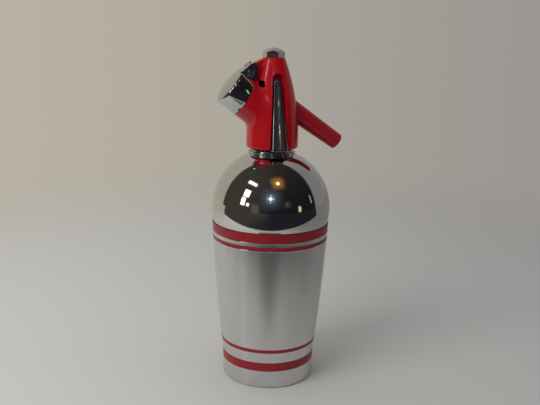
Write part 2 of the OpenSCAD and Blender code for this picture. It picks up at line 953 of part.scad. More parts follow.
module valve_stem() {
    color(chrome)
    in_head() {
        along_valve(stem_ball_y)
            cylinder(r = stem_r, h = stem_washer_y + stem_washer_h - stem_ball_y + 1);
        along_valve(stem_ball_y)
            sphere(r = stem_r);
        along_valve(stem_washer_y + stem_washer_h)
            cylinder(r = stem_flange_r, h = stem_flange_h);
        along_valve(stem_washer_y + stem_washer_h + 1)
            cylinder(r = stem_guide_r, h = stem_flange_h - 1 + stem_guide_h);
    }
}

module valve_washer() {
    color(rubber)
    in_head()
        along_valve(stem_washer_y)
            difference() {
                cylinder(r = chamber_r - 0.7, h = stem_washer_h);
                translate([0, 0, -1])
                    cylinder(r = stem_r, h = 5);
            }
}

// ---- Dip tube -----------------------------------------------------------------------

tube_nut_h = 5;
tube_nut_r = 8;                   // over its corners
tube_slant = 20;                  // slope of the tube's cut foot
tube_top = -5.05;                 // upper end of the tube, in the head's frame

module dip_tube() {
    low = bottle_wall + tube_gap - head_z;
    color(plastic)
    in_head()
        translate([0, 0, low])
            difference() {
                cylinder(r = tube_r, h = tube_top - low);
                translate([0, 0, -1])
                    cylinder(r = tube_r - tube_wall, h = far * 2);
                // slanted foot, so that the tube can't seal itself on the floor
                translate([0, 0, -far / 2])
                    rotate([0, tube_slant, 0])
                        translate([-far / 2, -far / 2, -far / 2])
                            cube([far, far, far + 2]);
            }
}

module dip_tube_nut() {
    color(brass)
    in_head()
        translate([0, 0, nut_in - tube_nut_h])
            difference() {
                cylinder(r = tube_nut_r, h = tube_nut_h, $fn = 6);
                translate([0, 0, -1])
                    cylinder(r = tube_r, h = tube_nut_h + 2);
            }
}

// ---- Spout --------------------------------------------------------------------------

module spout() {
    l = spout_l - spout_start;
    color(dark_red)
    in_head()
        along_spout(spout_start)
            difference() {
                rotate_extrude()
                    difference() {
                        union() {
                            polygon([[0, 0], [spout_root_r, 0],
                                [spout_tip_r, l - spout_round], [0, l - spout_round]]);
                            translate([0, l - spout_round - eps])
                                square([spout_tip_r - spout_round, spout_round + eps]);
                            translate([spout_tip_r - spout_round, l - spout_round])
                                circle(r = spout_round);
                        }
                        translate([-far, 0])
                            square([far, far]);
                    }
                translate([0, 0, -1])
                    cylinder(r = spout_bore, h = far);
                // socket for the nipple
                translate([0, 0, -1])
                    cylinder(r = nipple_r + sock_gap, h = nipple_l - spout_seal_h + 1 + sock_gap);
            }
}

module spout_seal() {
    color(rubber)
    in_head()
        along_spout(spout_start - spout_seal_h)
            difference() {
                cylinder(r = spout_block_r - 0.2, h = spout_seal_h);
                translate([0, 0, -1])
                    cylinder(r = nipple_r, h = 5);
            }
}

// ---- Cap ----------------------------------------------------------------------------

cap_washer_r = 8.6;
nut_edge = 0.6;                   // chamfer of the nut's corners
nut_turn = 5;                     // how the nut happens to be turned, in degrees

module cap_washer() {
    color(rubber)
    in_head()
        translate([0, 0, head_h - nut_seat])
            difference() {
                cylinder(r = cap_washer_r, h = cap_washer_h);
                translate([0, 0, -1])
                    cylinder(r = stud_r, h = 5);
            }
}

// A hexagon with its corners turned down, and a low dome on top.
module cap_nut() {
    corner_r = nut_flats / 2 / cos(30);
    nut_h = nut_side + nut_dome;
    dome_foot = nut_flats / 2 - nut_edge;
    dome_rad = (pow(dome_foot, 2) + pow(nut_dome, 2)) / 2 / nut_dome;
    dome_span = asin(dome_foot / dome_rad);
    color(chrome)
    in_head()
        translate([0, 0, head_h])
            difference() {
                intersection() {
                    rotate([0, 0, nut_turn])
                        cylinder(r = corner_r, h = nut_h, $fn = 6);
                    // chamfers that only the corners reach, and the dome
                    rotate_extrude()
                        polygon(concat([[0, 0], [corner_r - nut_edge - 0.2, 0],
                            [corner_r + 0.4, 1.5], [corner_r + 0.4, nut_side - 1.8]],
                            arc([0, nut_h - dome_rad], dome_rad, 90 - dome_span, 90, 8)));
                }
                translate([0, 0, -1])
                    cylinder(r = stud_r, h = nut_side);
            }
}

// ---- Lever --------------------------------------------------------------------------

lever_top = 4.4;                  // lever's upper end above its pin
eye_drop = lever_top - lever_top_w / 2;
rim = 0.9;                        // softened edge of the lever's face
flank_taper = 1.6;                // how much shallower the flanks are at the lower end
stop_pin_out = 0.7;               // stop pin's ends, proud of the flanks

// The lever's outline seen from the front, drawn in by inset.
module lever_outline(inset) {
    top_half = lever_top_w / 2 - inset;
    low_half = lever_low_w / 2 - inset;
    corner = lever_corner - min(inset, lever_corner - 0.4);
    low = -lever_drop + inset;
    translate([0, eye_drop])
        circle(r = top_half);
    polygon([[-top_half, eye_drop], [top_half, eye_drop], [low_half, low + corner],
        [-low_half, low + corner]]);
    translate([-low_half + corner, low])
        square([2 * (low_half - corner), corner + eps]);
    for (side = [-1, 1])
        translate([side * (low_half - corner), low + corner])
            circle(r = corner);
}

// A slab with the lever's outline, from depth d0 to d1 behind its face.
module lever_slab(inset, d0, d1) {
    translate([0, d1 - lever_face, 0])
        rotate([90, 0, 0])
            linear_extrude(d1 - d0)
                lever_outline(inset);
}

// What is cut away behind the lever's flanks, seen from the side: they are deepest at
// the pin, round over above it and grow shallower towards the lower end.
module flank_cut() {
    low_back = lever_back - flank_taper;
    back = lever_face + lever_back + 2;
    translate([far / 2, 0, 0])
        rotate([90, 0, -90])
            linear_extrude(far)
                difference() {
                    polygon([[-back, -lever_drop - 1], [-low_back, -lever_drop - 1],
                        [-lever_back, -6], [-lever_back, -0.4], [0.3, 0.5],
                        [0.3, lever_top + 1], [-back, lever_top + 1]]);
                    circle(r = lever_back + 0.1);
                }
}

module lever() {
    color(chrome)
    in_head()
        at_lever()
            difference() {
                hull() {
                    lever_slab(rim, 0, 0.05);
                    lever_slab(rim * 0.3, rim * 0.3, rim * 0.3 + 0.05);
                    lever_slab(0, rim, lever_face + lever_back + 1);
                }
                flank_cut();
                lever_slab(lever_sheet, lever_sheet, 30);
                translate([-far / 2, 0, 0])
                    rotate([0, 90, 0])
                        cylinder(r = lever_pin_r + running, h = far);
                translate([-far / 2, 0, -stop_pin_drop])
                    rotate([0, 90, 0])
                        cylinder(r = stop_pin_r, h = far);
            }
}

module lever_stop_pin() {
    width = lever_top_w + (lever_low_w - lever_top_w) * stop_pin_drop / lever_drop;
    half = width / 2 + stop_pin_out;
    color(chrome)
    in_head()
        at_lever()
            translate([-half, 0, -stop_pin_drop])
                rotate([0, 90, 0])
                    cylinder(r = stop_pin_r, h = 2 * half);
}

module lever_pin() {
    color(chrome)
    in_head()
        lever_pin_hole();
}

// ---- Cover --------------------------------------------------------------------------

pad_h = 1.6;
pad_r = 6;
pad_gap = 0.2;                    // between the charger's tail and the pad
pad_boss = 0.4;                   // boss that the pad sits on, proud of the cover's inside
pad_boss_r = 7.5;
pad_seat = charger_l + pad_gap + pad_h;
dome_centre = pad_seat + pad_boss + cover_wall - cover_dome;

// Section of the cover's round body: a cylinder with a domed and rounded end.
module cover_section(r, dome, round) {
    rim_r = r - round;
    rim_t = dome_centre + sqrt(pow(dome - round, 2) - pow(rim_r, 2));
    meet = atan2(rim_t - dome_centre, rim_r);
    polygon(concat([[0, 0], [r, 0]], arc([rim_r, rim_t], round, 0, meet, 6),
        arc([0, dome_centre], dome, meet + 0.2, 90, 10)));
}

module cover_body(r, dome, round) {
    along_charger()
        rotate_extrude($fn = 96)
            cover_section(r, dome, round);
}

shelf_half = hinge_half - 0.35;   // a little within the ears' sides
shelf_out = 5.8;                  // a point of the shelf, out from the hinge pin
shelf_down = 7.2;                 // and below it
shelf_slope = 25;

// Everything above the shelf beside the hinge.
module above_shelf() {
    translate([hinge_x - shelf_out, 0, hinge_z - shelf_down])
        rotate([0, shelf_slope, 0])
            translate([-far / 2, -far / 2, 0])
                cube(far);
}

ear_low = 16;                     // how far below the pin the ears run into the body

ear_proud = 0.5;                  // how far the ears' edge stands out of the dome at the eye
ear_sink = 2.5;                   // and how much further in it ends, below

// A point of the ears' outer edge, from the eye (0) down into the cover's dome (1).
function ear_edge(f, upper, lower) =
    let (a = upper + (lower - upper) * f, r = cover_dome + ear_proud - ear_sink * f)
    [cover_dome_x + r * cos(a), cover_dome_y + r * sin(a)];

// Side view of the ears, in the hinge's frame.
module ear_outline() {
    upper = 180 - acos((cover_dome_x + 1) / cover_dome);
    lower = 180 - asin((-ear_low - cover_dome_y) / cover_dome);
    circle(r = hinge_eye);
    polygon(concat([for (i = [0:8]) ear_edge(i / 8, upper, lower)],
        [[hinge_out + 2, -ear_low], [hinge_out + 2, -hinge_eye], [hinge_eye - 0.6, 1], [0, 0]]));
}

// The dome's centre in the hinge's frame.
dome_dt = hinge_t - dome_centre;
cover_dome_x = dome_dt * cos(face_lean) - hinge_up * sin(face_lean);
cover_dome_y = -dome_dt * sin(face_lean) - hinge_up * cos(face_lean);

module charger_cover() {
    color(chrome)
    in_head()
        difference() {
            union() {
                difference() {
                    cover_body(branch_r, cover_dome, cover_round);
                    difference() {
                        above_shelf();
                        translate([-far / 2, -shelf_half, -far / 2])
                            cube([far, 2 * shelf_half, far * 2]);
                    }
                }
                hinge_slab(hinge_half)
                    ear_outline();
            }
            head_side(cover_gap);
            // hollow, with the pad's seat left standing in it
            difference() {
                intersection() {
                    cover_body(branch_r - cover_wall, cover_dome - cover_wall, 1.5);
                    along_charger(branch_end - branch_r * tan(face_lean) - cover_wall)
                        cylinder(r = far, h = far);
                }
                along_charger(pad_seat)
                    cylinder(r = pad_boss_r, h = far);
            }
            // slot for the casing's tongue over its whole swing
            hinge_slab(tongue_half + part_gap) {
                tongue_outline(0.5);
                translate([-7, 0])
                    square([30, 40]);
            }
            at_hinge()
                translate([0, 0, -far / 2])
                    cylinder(r = hinge_pin_r + running, h = far);
        }
}

module charger_pad() {
    color(rubber)
    in_head()
        along_charger(pad_seat - pad_h)
            cylinder(r = pad_r, h = pad_h);
}

module cover_hinge_pin() {
    color(chrome)
    in_head()
        at_hinge()
            translate([0, 0, 0.4 - hinge_half])
                cylinder(r = hinge_pin_r, h = 2 * hinge_half - 0.8);
}

// ---- The whole ----------------------------------------------------------------------

bottle();
neck_collar();
shoulder_stripe_wide();
shoulder_stripe_narrow();
base_stripe_narrow();
base_stripe_wide();
head_cover();
valve_body();
cap_nut();
cap_washer();
spout();
spout_seal();
charger_sleeve();
piercing_pin();
pin_gasket();
non_return_sleeve();
valve_seat();
valve_gland();
gland_ring();
valve_plug();
plug_washer();
valve_spring();
lever_pin();
cover_hinge_pin();
dip_tube();
dip_tube_nut();
neck_seal();
lever();
lever_stop_pin();
valve_stem();
valve_washer();
charger_cover();
charger_pad();
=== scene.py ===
"""Soda siphon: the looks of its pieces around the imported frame, its light and its camera.

Lengths are in metres, in the frame of the model: +Z up, +X the spout, -Y the lever.
"""

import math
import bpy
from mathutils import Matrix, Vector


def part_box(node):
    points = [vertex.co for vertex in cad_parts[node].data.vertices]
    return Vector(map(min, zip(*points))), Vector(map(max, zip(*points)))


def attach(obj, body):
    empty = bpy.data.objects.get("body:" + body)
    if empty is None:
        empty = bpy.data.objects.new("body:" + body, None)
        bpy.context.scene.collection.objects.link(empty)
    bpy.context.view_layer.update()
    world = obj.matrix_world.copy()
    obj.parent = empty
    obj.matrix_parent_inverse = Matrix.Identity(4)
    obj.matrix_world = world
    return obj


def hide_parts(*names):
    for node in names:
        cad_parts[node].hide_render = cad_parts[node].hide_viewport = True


bl_info = {
    "name": "Soda Siphon",
    "version": (1, 0, 0),
    "blender": (4, 5, 0),
    "location": "View3D > Sidebar > Siphon",
    "description": "Dresses the soda siphon and sets its light and camera",
    "category": "Object",
}

import bmesh
import bpy
import numpy as np
from bpy.props import FloatProperty, FloatVectorProperty, IntProperty, PointerProperty
from mathutils import Matrix, Vector

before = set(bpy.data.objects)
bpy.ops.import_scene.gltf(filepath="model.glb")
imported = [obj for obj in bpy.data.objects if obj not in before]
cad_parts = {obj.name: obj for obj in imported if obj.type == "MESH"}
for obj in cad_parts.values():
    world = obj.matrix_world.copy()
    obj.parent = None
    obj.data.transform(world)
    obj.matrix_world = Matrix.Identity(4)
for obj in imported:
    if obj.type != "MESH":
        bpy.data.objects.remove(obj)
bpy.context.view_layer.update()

MM = 0.001

# Distances at which points of a mesh count as one, or as on a plane
CLOSE = 1e-6
CAD_CLOSE = 2e-6
ON_PLANE = 1e-7

# Bottle
DOME_R = 60.5 * MM
DOME_Z = 180 * MM
SHOULDER_Z = 167.5 * MM
SHOULDER_R = 59.6 * MM
FOOT_R = 47.3 * MM
FOOT_BAND = 28 * MM
FOOT_FLARE = 0.5 * MM
SIDE_BOW = 1.6 * MM
FOOT_ROUND = 2.8 * MM
FOOT_DISH = 1.2 * MM
FOOT_DISH_R = 30 * MM
FOOT_RING_R = 34 * MM
WALL = 2.4 * MM
INNER_FOOT = 6 * MM
NECK_R = 20.9 * MM
NECK_BORE = 17 * MM
NECK_EDGE = 0.3 * MM
PLAY = 0.02 * MM

# Stripes, with the rounded lips under the two at the shoulder
STRIPE_DEPTH = 0.6 * MM
STRIPE_PROUD = 0.12 * MM
STRIPE_EDGE = 0.1 * MM
LIP_TALL = 1.1 * MM
LIP_PROUD = {
    "shoulder_stripe_wide": 0.35 * MM,
    "shoulder_stripe_narrow": 0.15 * MM,
    "base_stripe_narrow": 0.0,
    "base_stripe_wide": 0.0,
}

# Collar, by its beads' thickness
BEAD = 1.7 * MM
BEAD_GAP = 0.6 * MM
COLLAR_RIM = 0.3 * MM
COLLAR_FOOT = 0.5 * MM

# Head, whose frame stands at the casing's lower edge
HEAD_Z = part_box("head_cover")[0].z
HEAD_R = 26.3 * MM
HEAD_FOOT = 7.8 * MM
HEAD_CURVE = 225 * MM
HEAD_LOW_EDGE = 2.2 * MM
HEAD_HIGH_EDGE = 87.5 * MM
SKIN_REACH = 0.5 * MM
CASING_SMOOTHING = 0.4
BRANCH_R = 20 * MM
FAR_OFF = 1.0
CHARGER_SLOPE = math.radians(37.5)
CHARGER_NOSE = Vector((8.7 * MM, 0, HEAD_Z + 21.7 * MM))
CHARGER_AXIS = Vector((-math.cos(CHARGER_SLOPE), 0, math.sin(CHARGER_SLOPE)))
SPOUT_SLOPE = math.radians(34.3)
SPOUT_FROM = Vector((27 * MM, 0, HEAD_Z + 32.8 * MM))
SPOUT_AXIS = Vector((math.cos(SPOUT_SLOPE), 0, -math.sin(SPOUT_SLOPE)))
SPOUT_TURNS = 96
SPOUT_ROOT = -12 * MM
SPOUT_TIP = 51.6 * MM
SPOUT_ROOT_R = 9.8 * MM
SPOUT_TIP_R = 8.3 * MM
SPOUT_BORE = 5.0 * MM
SPOUT_EDGE = 1.7 * MM
SPOUT_LIP = 0.8 * MM

# Ring round the spout's root, which the solid has and the looks leave out
RING_R = 11 * MM
RING_OUT = 9 * MM
RING_SIDE = 1.5 * MM
RING_SINK = 0.2 * MM

# Lever, in a frame at its pin with +Z up along the lever and -Y out of its face
LEVER_PIN = Vector((0, -13.6 * MM, HEAD_Z + 63.8 * MM))
LEVER_TILT = math.radians(11.9)
LEVER_FACE = 3.4 * MM
LEVER_BACK = 2.3 * MM
LEVER_TOP = 4.4 * MM
LEVER_DROP = 66.4 * MM
LEVER_TOP_W = 8.6 * MM
LEVER_LOW_W = 15.6 * MM
LEVER_EYE = LEVER_TOP - LEVER_TOP_W / 2
LEVER_CORNER = 2.2 * MM
LEVER_SHEET = 1.3 * MM
LEVER_CROWN = 0.35 * MM
LEVER_STRIP = 2.4 * MM
LEVER_STRIP_FROM = 2 * MM
LEVER_STRIP_SHARES = (-0.66, -0.4, -0.15, 0.15, 0.4, 0.66)
LEVER_FOOT_BACK = 0.7 * MM
LEVER_BACK_LEAN = 0.0265
LEVER_EYE_CUT = 1.4 * MM
LEVER_EYE_LEAN = 0.75

# Chromed pieces made from their solids
FLAT_ANGLE = math.radians(0.6)
EDGE_ANGLE = math.radians(35)

# Camera of the photograph
CAMERA_AZIMUTH = math.radians(16)
CAMERA_DISTANCE = 781 * MM
CAMERA_HEIGHT = 366.1 * MM
CAMERA_PITCH = math.radians(13.1)
CAMERA_ROLL = math.radians(1.2)
CAMERA_LENS = 52
CAMERA_SENSOR = 36
CAMERA_SHIFT = -0.0013
TOWARDS_CAMERA = Vector((-math.sin(CAMERA_AZIMUTH), -math.cos(CAMERA_AZIMUTH), 0))
CAMERA_RIGHT = Vector((math.cos(CAMERA_AZIMUTH), -math.sin(CAMERA_AZIMUTH), 0))
CAMERA_PLACE = TOWARDS_CAMERA * CAMERA_DISTANCE + Vector((0, 0, CAMERA_HEIGHT))


# ---- Settings -------------------------------------------------------------------------


def colour_property(name, default):
    """A colour that a user can change."""
    return FloatVectorProperty(
        name=name, description=name + ", as linear red, green and blue",
        subtype="COLOR", size=3, min=0, max=1, default=default)


def length_property(name, description, default):
    """A length that a user can change."""
    return FloatProperty(name=name, description=description, unit="LENGTH", default=default)


class SiphonFinish(bpy.types.PropertyGroup):
    """Colours and gloss of the siphon's finishes."""

    aluminium: colour_property("Aluminium", (0.70, 0.70, 0.69))
    chrome: colour_property("Chrome", (0.60, 0.605, 0.62))
    head_red: colour_property("Casing's red", (0.34, 0.003, 0.008))
    spout_red: colour_property("Spout's red", (0.26, 0.002, 0.007))
    stripe_red: colour_property("Stripes' red", (0.205, 0.005, 0.011))
    brass: colour_property("Brass", (0.62, 0.46, 0.20))
    steel: colour_property("Steel", (0.55, 0.55, 0.55))
    rubber: colour_property("Rubber", (0.012, 0.012, 0.012))
    tube: colour_property("Dip tube", (0.72, 0.70, 0.64))
    satin: FloatProperty(
        name="Satin", description="Roughness of the bottle's side", min=0, max=1,
        default=0.235)
    turning: FloatProperty(
        name="Turning", description="How far the side's rings draw its shine upright",
        min=0, max=1, default=0.95)
    mirror: FloatProperty(
        name="Mirror", description="Roughness of the polished dome", min=0, max=1,
        default=0.035)


class SiphonShape(bpy.types.PropertyGroup):
    """Sizes that only the looks have."""

    turns: IntProperty(
        name="Turn steps", description="Steps of a full turn of the round pieces",
        min=32, max=256, default=160)
    branch_blend: length_property(
        "Branch blend", "Reach of the soft blend between casing and branch", 5 * MM)
    cap_turn: FloatProperty(
        name="Cap turn", description="Turn of the cap nut about its own axis",
        unit="ROTATION", default=math.radians(31))
    casing_grain: length_property(
        "Casing grain", "Size of the casing's mesh faces", 0.62 * MM)
    lever_rim: length_property(
        "Lever rim", "Rounding of the lever's face along its edge", 1.1 * MM)
    edge: length_property(
        "Edge", "Rounding of the chromed pieces' edges", 0.28 * MM)


class SiphonStage(bpy.types.PropertyGroup):
    """Floor, light and room."""

    # The floor's two colours are painted light: paler on the left, as if lit more from there
    floor: colour_property("Floor on the left", (0.54, 0.535, 0.51))
    floor_right: colour_property("Floor on the right", (0.36, 0.355, 0.35))
    wall: colour_property("Wall on the left", (0.485, 0.445, 0.361))
    wall_right: colour_property("Wall on the right", (0.323, 0.305, 0.287))
    mirrored: colour_property("Mirrored wall on the left", (0.45, 0.42, 0.35))
    mirrored_right: colour_property("Mirrored wall on the right", (0.235, 0.23, 0.225))
    key_power: FloatProperty(
        name="Key light", description="Power of the key light", subtype="POWER", default=15)
    fill_power: FloatProperty(
        name="Fill light", description="Power of the fill light", subtype="POWER", default=1.2)
    ambient: FloatProperty(
        name="Ambient", description="Strength of the soft light from the left", default=0.96)
    ambient_right: FloatProperty(
        name="Ambient right", description="Strength of the soft light from the right",
        default=0.36)


# ---- Mesh helpers ---------------------------------------------------------------------


def new_piece(name, bm, sharp=30):
    """An object of a finished bmesh, smooth but for edges over sharp degrees."""
    mesh = bpy.data.meshes.new(name)
    bm.to_mesh(mesh)
    bm.free()
    mesh.shade_smooth()
    mesh.set_sharp_from_angle(angle=math.radians(sharp))
    piece = bpy.data.objects.new(name, mesh)
    bpy.context.scene.collection.objects.link(piece)
    return piece


def fit_piece(piece, body, slot, material, *nodes):
    """Puts a piece on its body and in its material, in place of nodes. Its slot is not used.
    """
    piece.data.materials.clear()
    piece.data.materials.append(material)
    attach(piece, body)
    if nodes:
        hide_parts(*nodes)
    return piece


def dress_node(name, material):
    """Gives a CAD node its material."""
    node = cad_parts[name]
    node.data.materials.clear()
    node.data.materials.append(material)


def arc(centre, radius, start, end, steps):
    """Points along an arc in the radius and height plane, from start to end degrees."""
    angles = [math.radians(start + (end - start) * i / steps) for i in range(steps + 1)]
    return [(centre[0] + radius * math.cos(a), centre[1] + radius * math.sin(a))
            for a in angles]


def spin_section(points, steps):
    """A bmesh of a closed section, as (radius, height) points, turned about +Z."""
    bm = bmesh.new()
    verts = [bm.verts.new((r, 0, z)) for r, z in points]
    edges = [bm.edges.new((a, b)) for a, b in zip(verts, verts[1:] + verts[:1])]
    bmesh.ops.spin(bm, geom=verts + edges, cent=(0, 0, 0), axis=(0, 0, 1),
                   angle=2 * math.pi, steps=steps, use_merge=True, use_duplicate=False)
    close_up(bm)
    return bm


def close_up(bm):
    """Merges doubles, drops what has no area and turns faces outwards."""
    bmesh.ops.remove_doubles(bm, verts=bm.verts, dist=CLOSE)
    bmesh.ops.dissolve_degenerate(bm, dist=CLOSE / 10, edges=bm.edges)
    bmesh.ops.recalc_face_normals(bm, faces=bm.faces)


def tilted_frame(origin, axis):
    """The matrix that puts +Z along axis, with +Y kept, at origin."""
    side = Vector((0, 1, 0))
    across = side.cross(axis).normalized()
    turn = Matrix((across, side, axis)).transposed().to_4x4()
    return Matrix.Translation(origin) @ turn


def merged_node(name):
    """A bmesh of a CAD node's mesh with its loose triangles merged."""
    bm = bmesh.new()
    bm.from_mesh(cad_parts[name].data)
    bmesh.ops.remove_doubles(bm, verts=bm.verts, dist=CAD_CLOSE)
    bmesh.ops.dissolve_degenerate(bm, dist=CLOSE, edges=bm.edges)
    return bm


def round_edges(bm, edges, width, segments):
    """Rounds edges of a bmesh by a width."""
    bmesh.ops.bevel(bm, geom=edges, offset=width, offset_type="OFFSET", affect="EDGES",
                    segments=segments, profile=0.5, material=-1, clamp_overlap=True)


def cut(bm, place, normal, clear=False):
    """Cuts a bmesh along a plane and, if asked, drops what lies past it."""
    bmesh.ops.bisect_plane(bm, geom=bm.verts[:] + bm.edges[:] + bm.faces[:],
                           dist=ON_PLANE, plane_co=place, plane_no=normal,
                           clear_outer=clear)


def softened_node(name, piece_name, width):
    """A piece like a CAD node, with its sharp edges rounded."""
    bm = merged_node(name)
    bmesh.ops.dissolve_limit(bm, angle_limit=FLAT_ANGLE, verts=bm.verts, edges=bm.edges)
    sharp = [e for e in bm.edges
             if len(e.link_faces) == 2 and e.calc_face_angle(0) > EDGE_ANGLE]
    round_edges(bm, sharp, width, 2)
    bmesh.ops.triangulate(bm, faces=[f for f in bm.faces if len(f.verts) > 4])
    return new_piece(piece_name, bm)


# ---- Node helpers ---------------------------------------------------------------------


class Shader:
    """A node tree with short ways to add and link its nodes."""

    def __init__(self, tree):
        self.tree = tree
        tree.nodes.clear()

    def node(self, kind, inputs=None, **settings):
        """Adds a node, sets it and links or fills its inputs."""
        node = self.tree.nodes.new(kind)
        for key, value in settings.items():
            setattr(node, key, value)
        for key, value in (inputs or {}).items():
            self.feed(node.inputs[key], value)
        return node

    def feed(self, socket, value):
        """Links a socket to another, or gives it a value."""
        if isinstance(value, bpy.types.NodeSocket):
            self.tree.links.new(value, socket)
        else:
            socket.default_value = value

    def math(self, operation, first, second=0.0):
        """One sum."""
        node = self.node("ShaderNodeMath", {0: first, 1: second}, operation=operation)
        return node.outputs[0]

    def step(self, value, low, high, out_low=0.0, out_high=1.0):
        """A smooth step of a value between low and high."""
        node = self.node("ShaderNodeMapRange", interpolation_type="SMOOTHSTEP")
        for key, entry in (("Value", value), ("From Min", low), ("From Max", high),
                           ("To Min", out_low), ("To Max", out_high)):
            self.feed(node.inputs[key], entry)
        return node.outputs["Result"]

    def mix(self, factor, first, second):
        """A mix of two colours."""
        node = self.node("ShaderNodeMix", data_type="RGBA")
        self.feed(node.inputs["Factor"], factor)
        self.feed(node.inputs[6], first)
        self.feed(node.inputs[7], second)
        return node.outputs[2]

    def dot(self, vector, axis):
        """A vector's reach along an axis."""
        node = self.node("ShaderNodeVectorMath", {0: vector, 1: tuple(axis)},
                         operation="DOT_PRODUCT")
        return node.outputs["Value"]

    def place(self, stretch=(1, 1, 1)):
        """Object coordinates, stretched."""
        coords = self.node("ShaderNodeTexCoord").outputs["Object"]
        node = self.node("ShaderNodeMapping", {"Vector": coords, "Scale": stretch})
        return node.outputs["Vector"]

    def noise(self, vector, scale, detail=2.0, roughness=0.5):
        """Noise from 0 to 1."""
        node = self.node("ShaderNodeTexNoise", {"Vector": vector, "Scale": scale,
                                                "Detail": detail, "Roughness": roughness})
        return node.outputs["Fac"]

    def bump(self, height, distance, strength=1.0, normal=None):
        """A bump of a height, in metres."""
        inputs = {"Height": height, "Distance": distance, "Strength": strength}
        if normal is not None:
            inputs["Normal"] = normal
        return self.node("ShaderNodeBump", inputs).outputs["Normal"]

    def surface(self, inputs):
        """The principled shader that ends a material."""
        shader = self.node("ShaderNodeBsdfPrincipled", inputs)
        self.node("ShaderNodeOutputMaterial", {"Surface": shader.outputs["BSDF"]})
        return shader


def new_material(name):
    """An empty material and its shader tree."""
    material = bpy.data.materials.get(name)
    if material is None:
        material = bpy.data.materials.new(name)
        material.use_nodes = True
    return material, Shader(material.node_tree)


def opaque(colour, share=1.0):
    """A colour with full alpha, dimmed to a share."""
    return (*(part * share for part in colour), 1.0)


# ---- Materials ------------------------------------------------------------------------


def aluminium_material(finish):
    """The bottle: a mirror-polished dome over a satin side, turned in fine rings.

    The rings draw what the side mirrors out into upright streaks.
    """
    material, s = new_material("bottle_aluminium")
    place = s.place()
    height = s.dot(place, (0, 0, 1))
    polish = 0.0
    blur = 0.1 * MM
    for low, high in ((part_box("shoulder_stripe_wide")[0].z - LIP_TALL, FAR_OFF),
                      (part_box("shoulder_stripe_narrow")[0].z - LIP_TALL,
                       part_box("shoulder_stripe_narrow")[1].z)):
        band = s.math("MULTIPLY", s.step(height, low - blur, low + blur),
                      s.step(height, high + blur, high))
        polish = s.math("MAXIMUM", polish, band)
    streaks = s.noise(s.place((1, 1, 0.02)), 260, 3)
    clouds = s.noise(s.place((1, 1, 0.25)), 26, 2)
    smears = s.noise(place, 34, 4, 0.6)
    satin = s.math("ADD", finish.satin - 0.05, s.math("MULTIPLY", streaks, 0.06))
    satin = s.math("ADD", satin, s.math("MULTIPLY", clouds, 0.04))
    mirror = s.math("ADD", finish.mirror, s.step(smears, 0.5, 0.8, 0, 0.05))
    roughness = s.node("ShaderNodeMix", {"Factor": polish, 2: satin, 3: mirror},
                       data_type="FLOAT").outputs[0]
    colour = s.mix(s.step(clouds, 0.3, 0.7), opaque(finish.aluminium),
                   opaque(finish.aluminium, 0.94))
    normal = s.bump(s.noise(place, 30, 1), 0.05 * MM, 0.5)
    upright = s.node("ShaderNodeCombineXYZ", {"Z": 1.0}).outputs[0]
    s.surface({"Base Color": colour, "Metallic": 1.0, "Roughness": roughness,
               "Anisotropic": s.step(polish, 0, 1, finish.turning, 0),
               "Tangent": upright, "Normal": normal})
    return material


def chrome_material(finish, name="chrome_plate", wave=0.08 * MM, haze=0.03):
    """Bright plating with fine wear, a little wavy unless its wave is 0."""
    material, s = new_material(name)
    place = s.place()
    wear = s.noise(place, 160, 4, 0.6)
    roughness = s.step(wear, 0.35, 0.8, haze, haze + 0.07)
    colour = s.mix(s.step(wear, 0.55, 0.75), opaque(finish.chrome),
                   opaque(finish.chrome, 0.9))
    inputs = {"Base Color": colour, "Metallic": 1.0, "Roughness": roughness}
    if wave:
        inputs["Normal"] = s.bump(s.noise(place, 70, 1), wave, 0.5)
    s.surface(inputs)
    return material


def moulded_material(name, colour, roughness, wave, coat):
    """Moulded or lacquered red, a little wavy under its gloss."""
    material, s = new_material(name)
    place = s.place()
    tone = s.noise(place, 18, 2)
    peel = s.noise(place, 900, 1)
    waves = s.noise(s.place((1, 1, 0.7)), 75, 1)
    smears = s.noise(place, 55, 4, 0.65)
    tint = s.mix(s.step(tone, 0.35, 0.7), opaque(colour), opaque(colour, 0.88))
    gloss = s.step(smears, 0.4, 0.75, roughness, roughness + 0.09)
    normal = s.bump(waves, wave, 0.8)
    normal = s.bump(peel, 0.01 * MM, 0.3, normal)
    s.surface({"Base Color": tint, "Roughness": gloss, "Normal": normal,
               "Specular IOR Level": 0.4, "Coat Weight": coat, "Coat Roughness": 0.03})
    return material


# Pins and inner pieces: colour, metal, roughness and grain
PLAIN_SURFACES = {
    "cast_brass": ("brass", 1, 0.38, 260),
    "turned_brass": ("brass", 1, 0.2, 500),
    "pin_steel": ("steel", 1, 0.16, 400),
    "seal_rubber": ("rubber", 0, 0.6, 700),
    "tube_plastic": ("tube", 0, 0.35, 300),
}


def plain_material(finish, name):
    """Plain metal, rubber or plastic with a fine even grain."""
    material, s = new_material(name)
    colour_name, metallic, roughness, grain = PLAIN_SURFACES[name]
    colour = getattr(finish, colour_name)
    place = s.place()
    mottle = s.noise(place, grain, 4, 0.6)
    tint = s.mix(s.step(mottle, 0.35, 0.7), opaque(colour), opaque(colour, 0.8))
    gloss = s.step(mottle, 0.3, 0.7, roughness, roughness + 0.12)
    normal = s.bump(mottle, 0.03 * MM, 0.5)
    s.surface({"Base Color": tint, "Metallic": metallic, "Roughness": gloss,
               "Normal": normal})
    return material


# ---- Bottle ---------------------------------------------------------------------------


def side_radius(z):
    """Outer radius of the bottle's side at a height."""
    foot = FOOT_R + FOOT_FLARE * max(0, min(z, FOOT_BAND) - FOOT_ROUND) / FOOT_BAND
    if z < FOOT_BAND:
        return foot
    u = (z - FOOT_BAND) / (SHOULDER_Z - FOOT_BAND)
    return foot + (SHOULDER_R - foot) * u + 4 * SIDE_BOW * u * (1 - u)


def stripe_span(node):
    """Lower and upper edge of a stripe."""
    low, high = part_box(node)
    return low.z, high.z


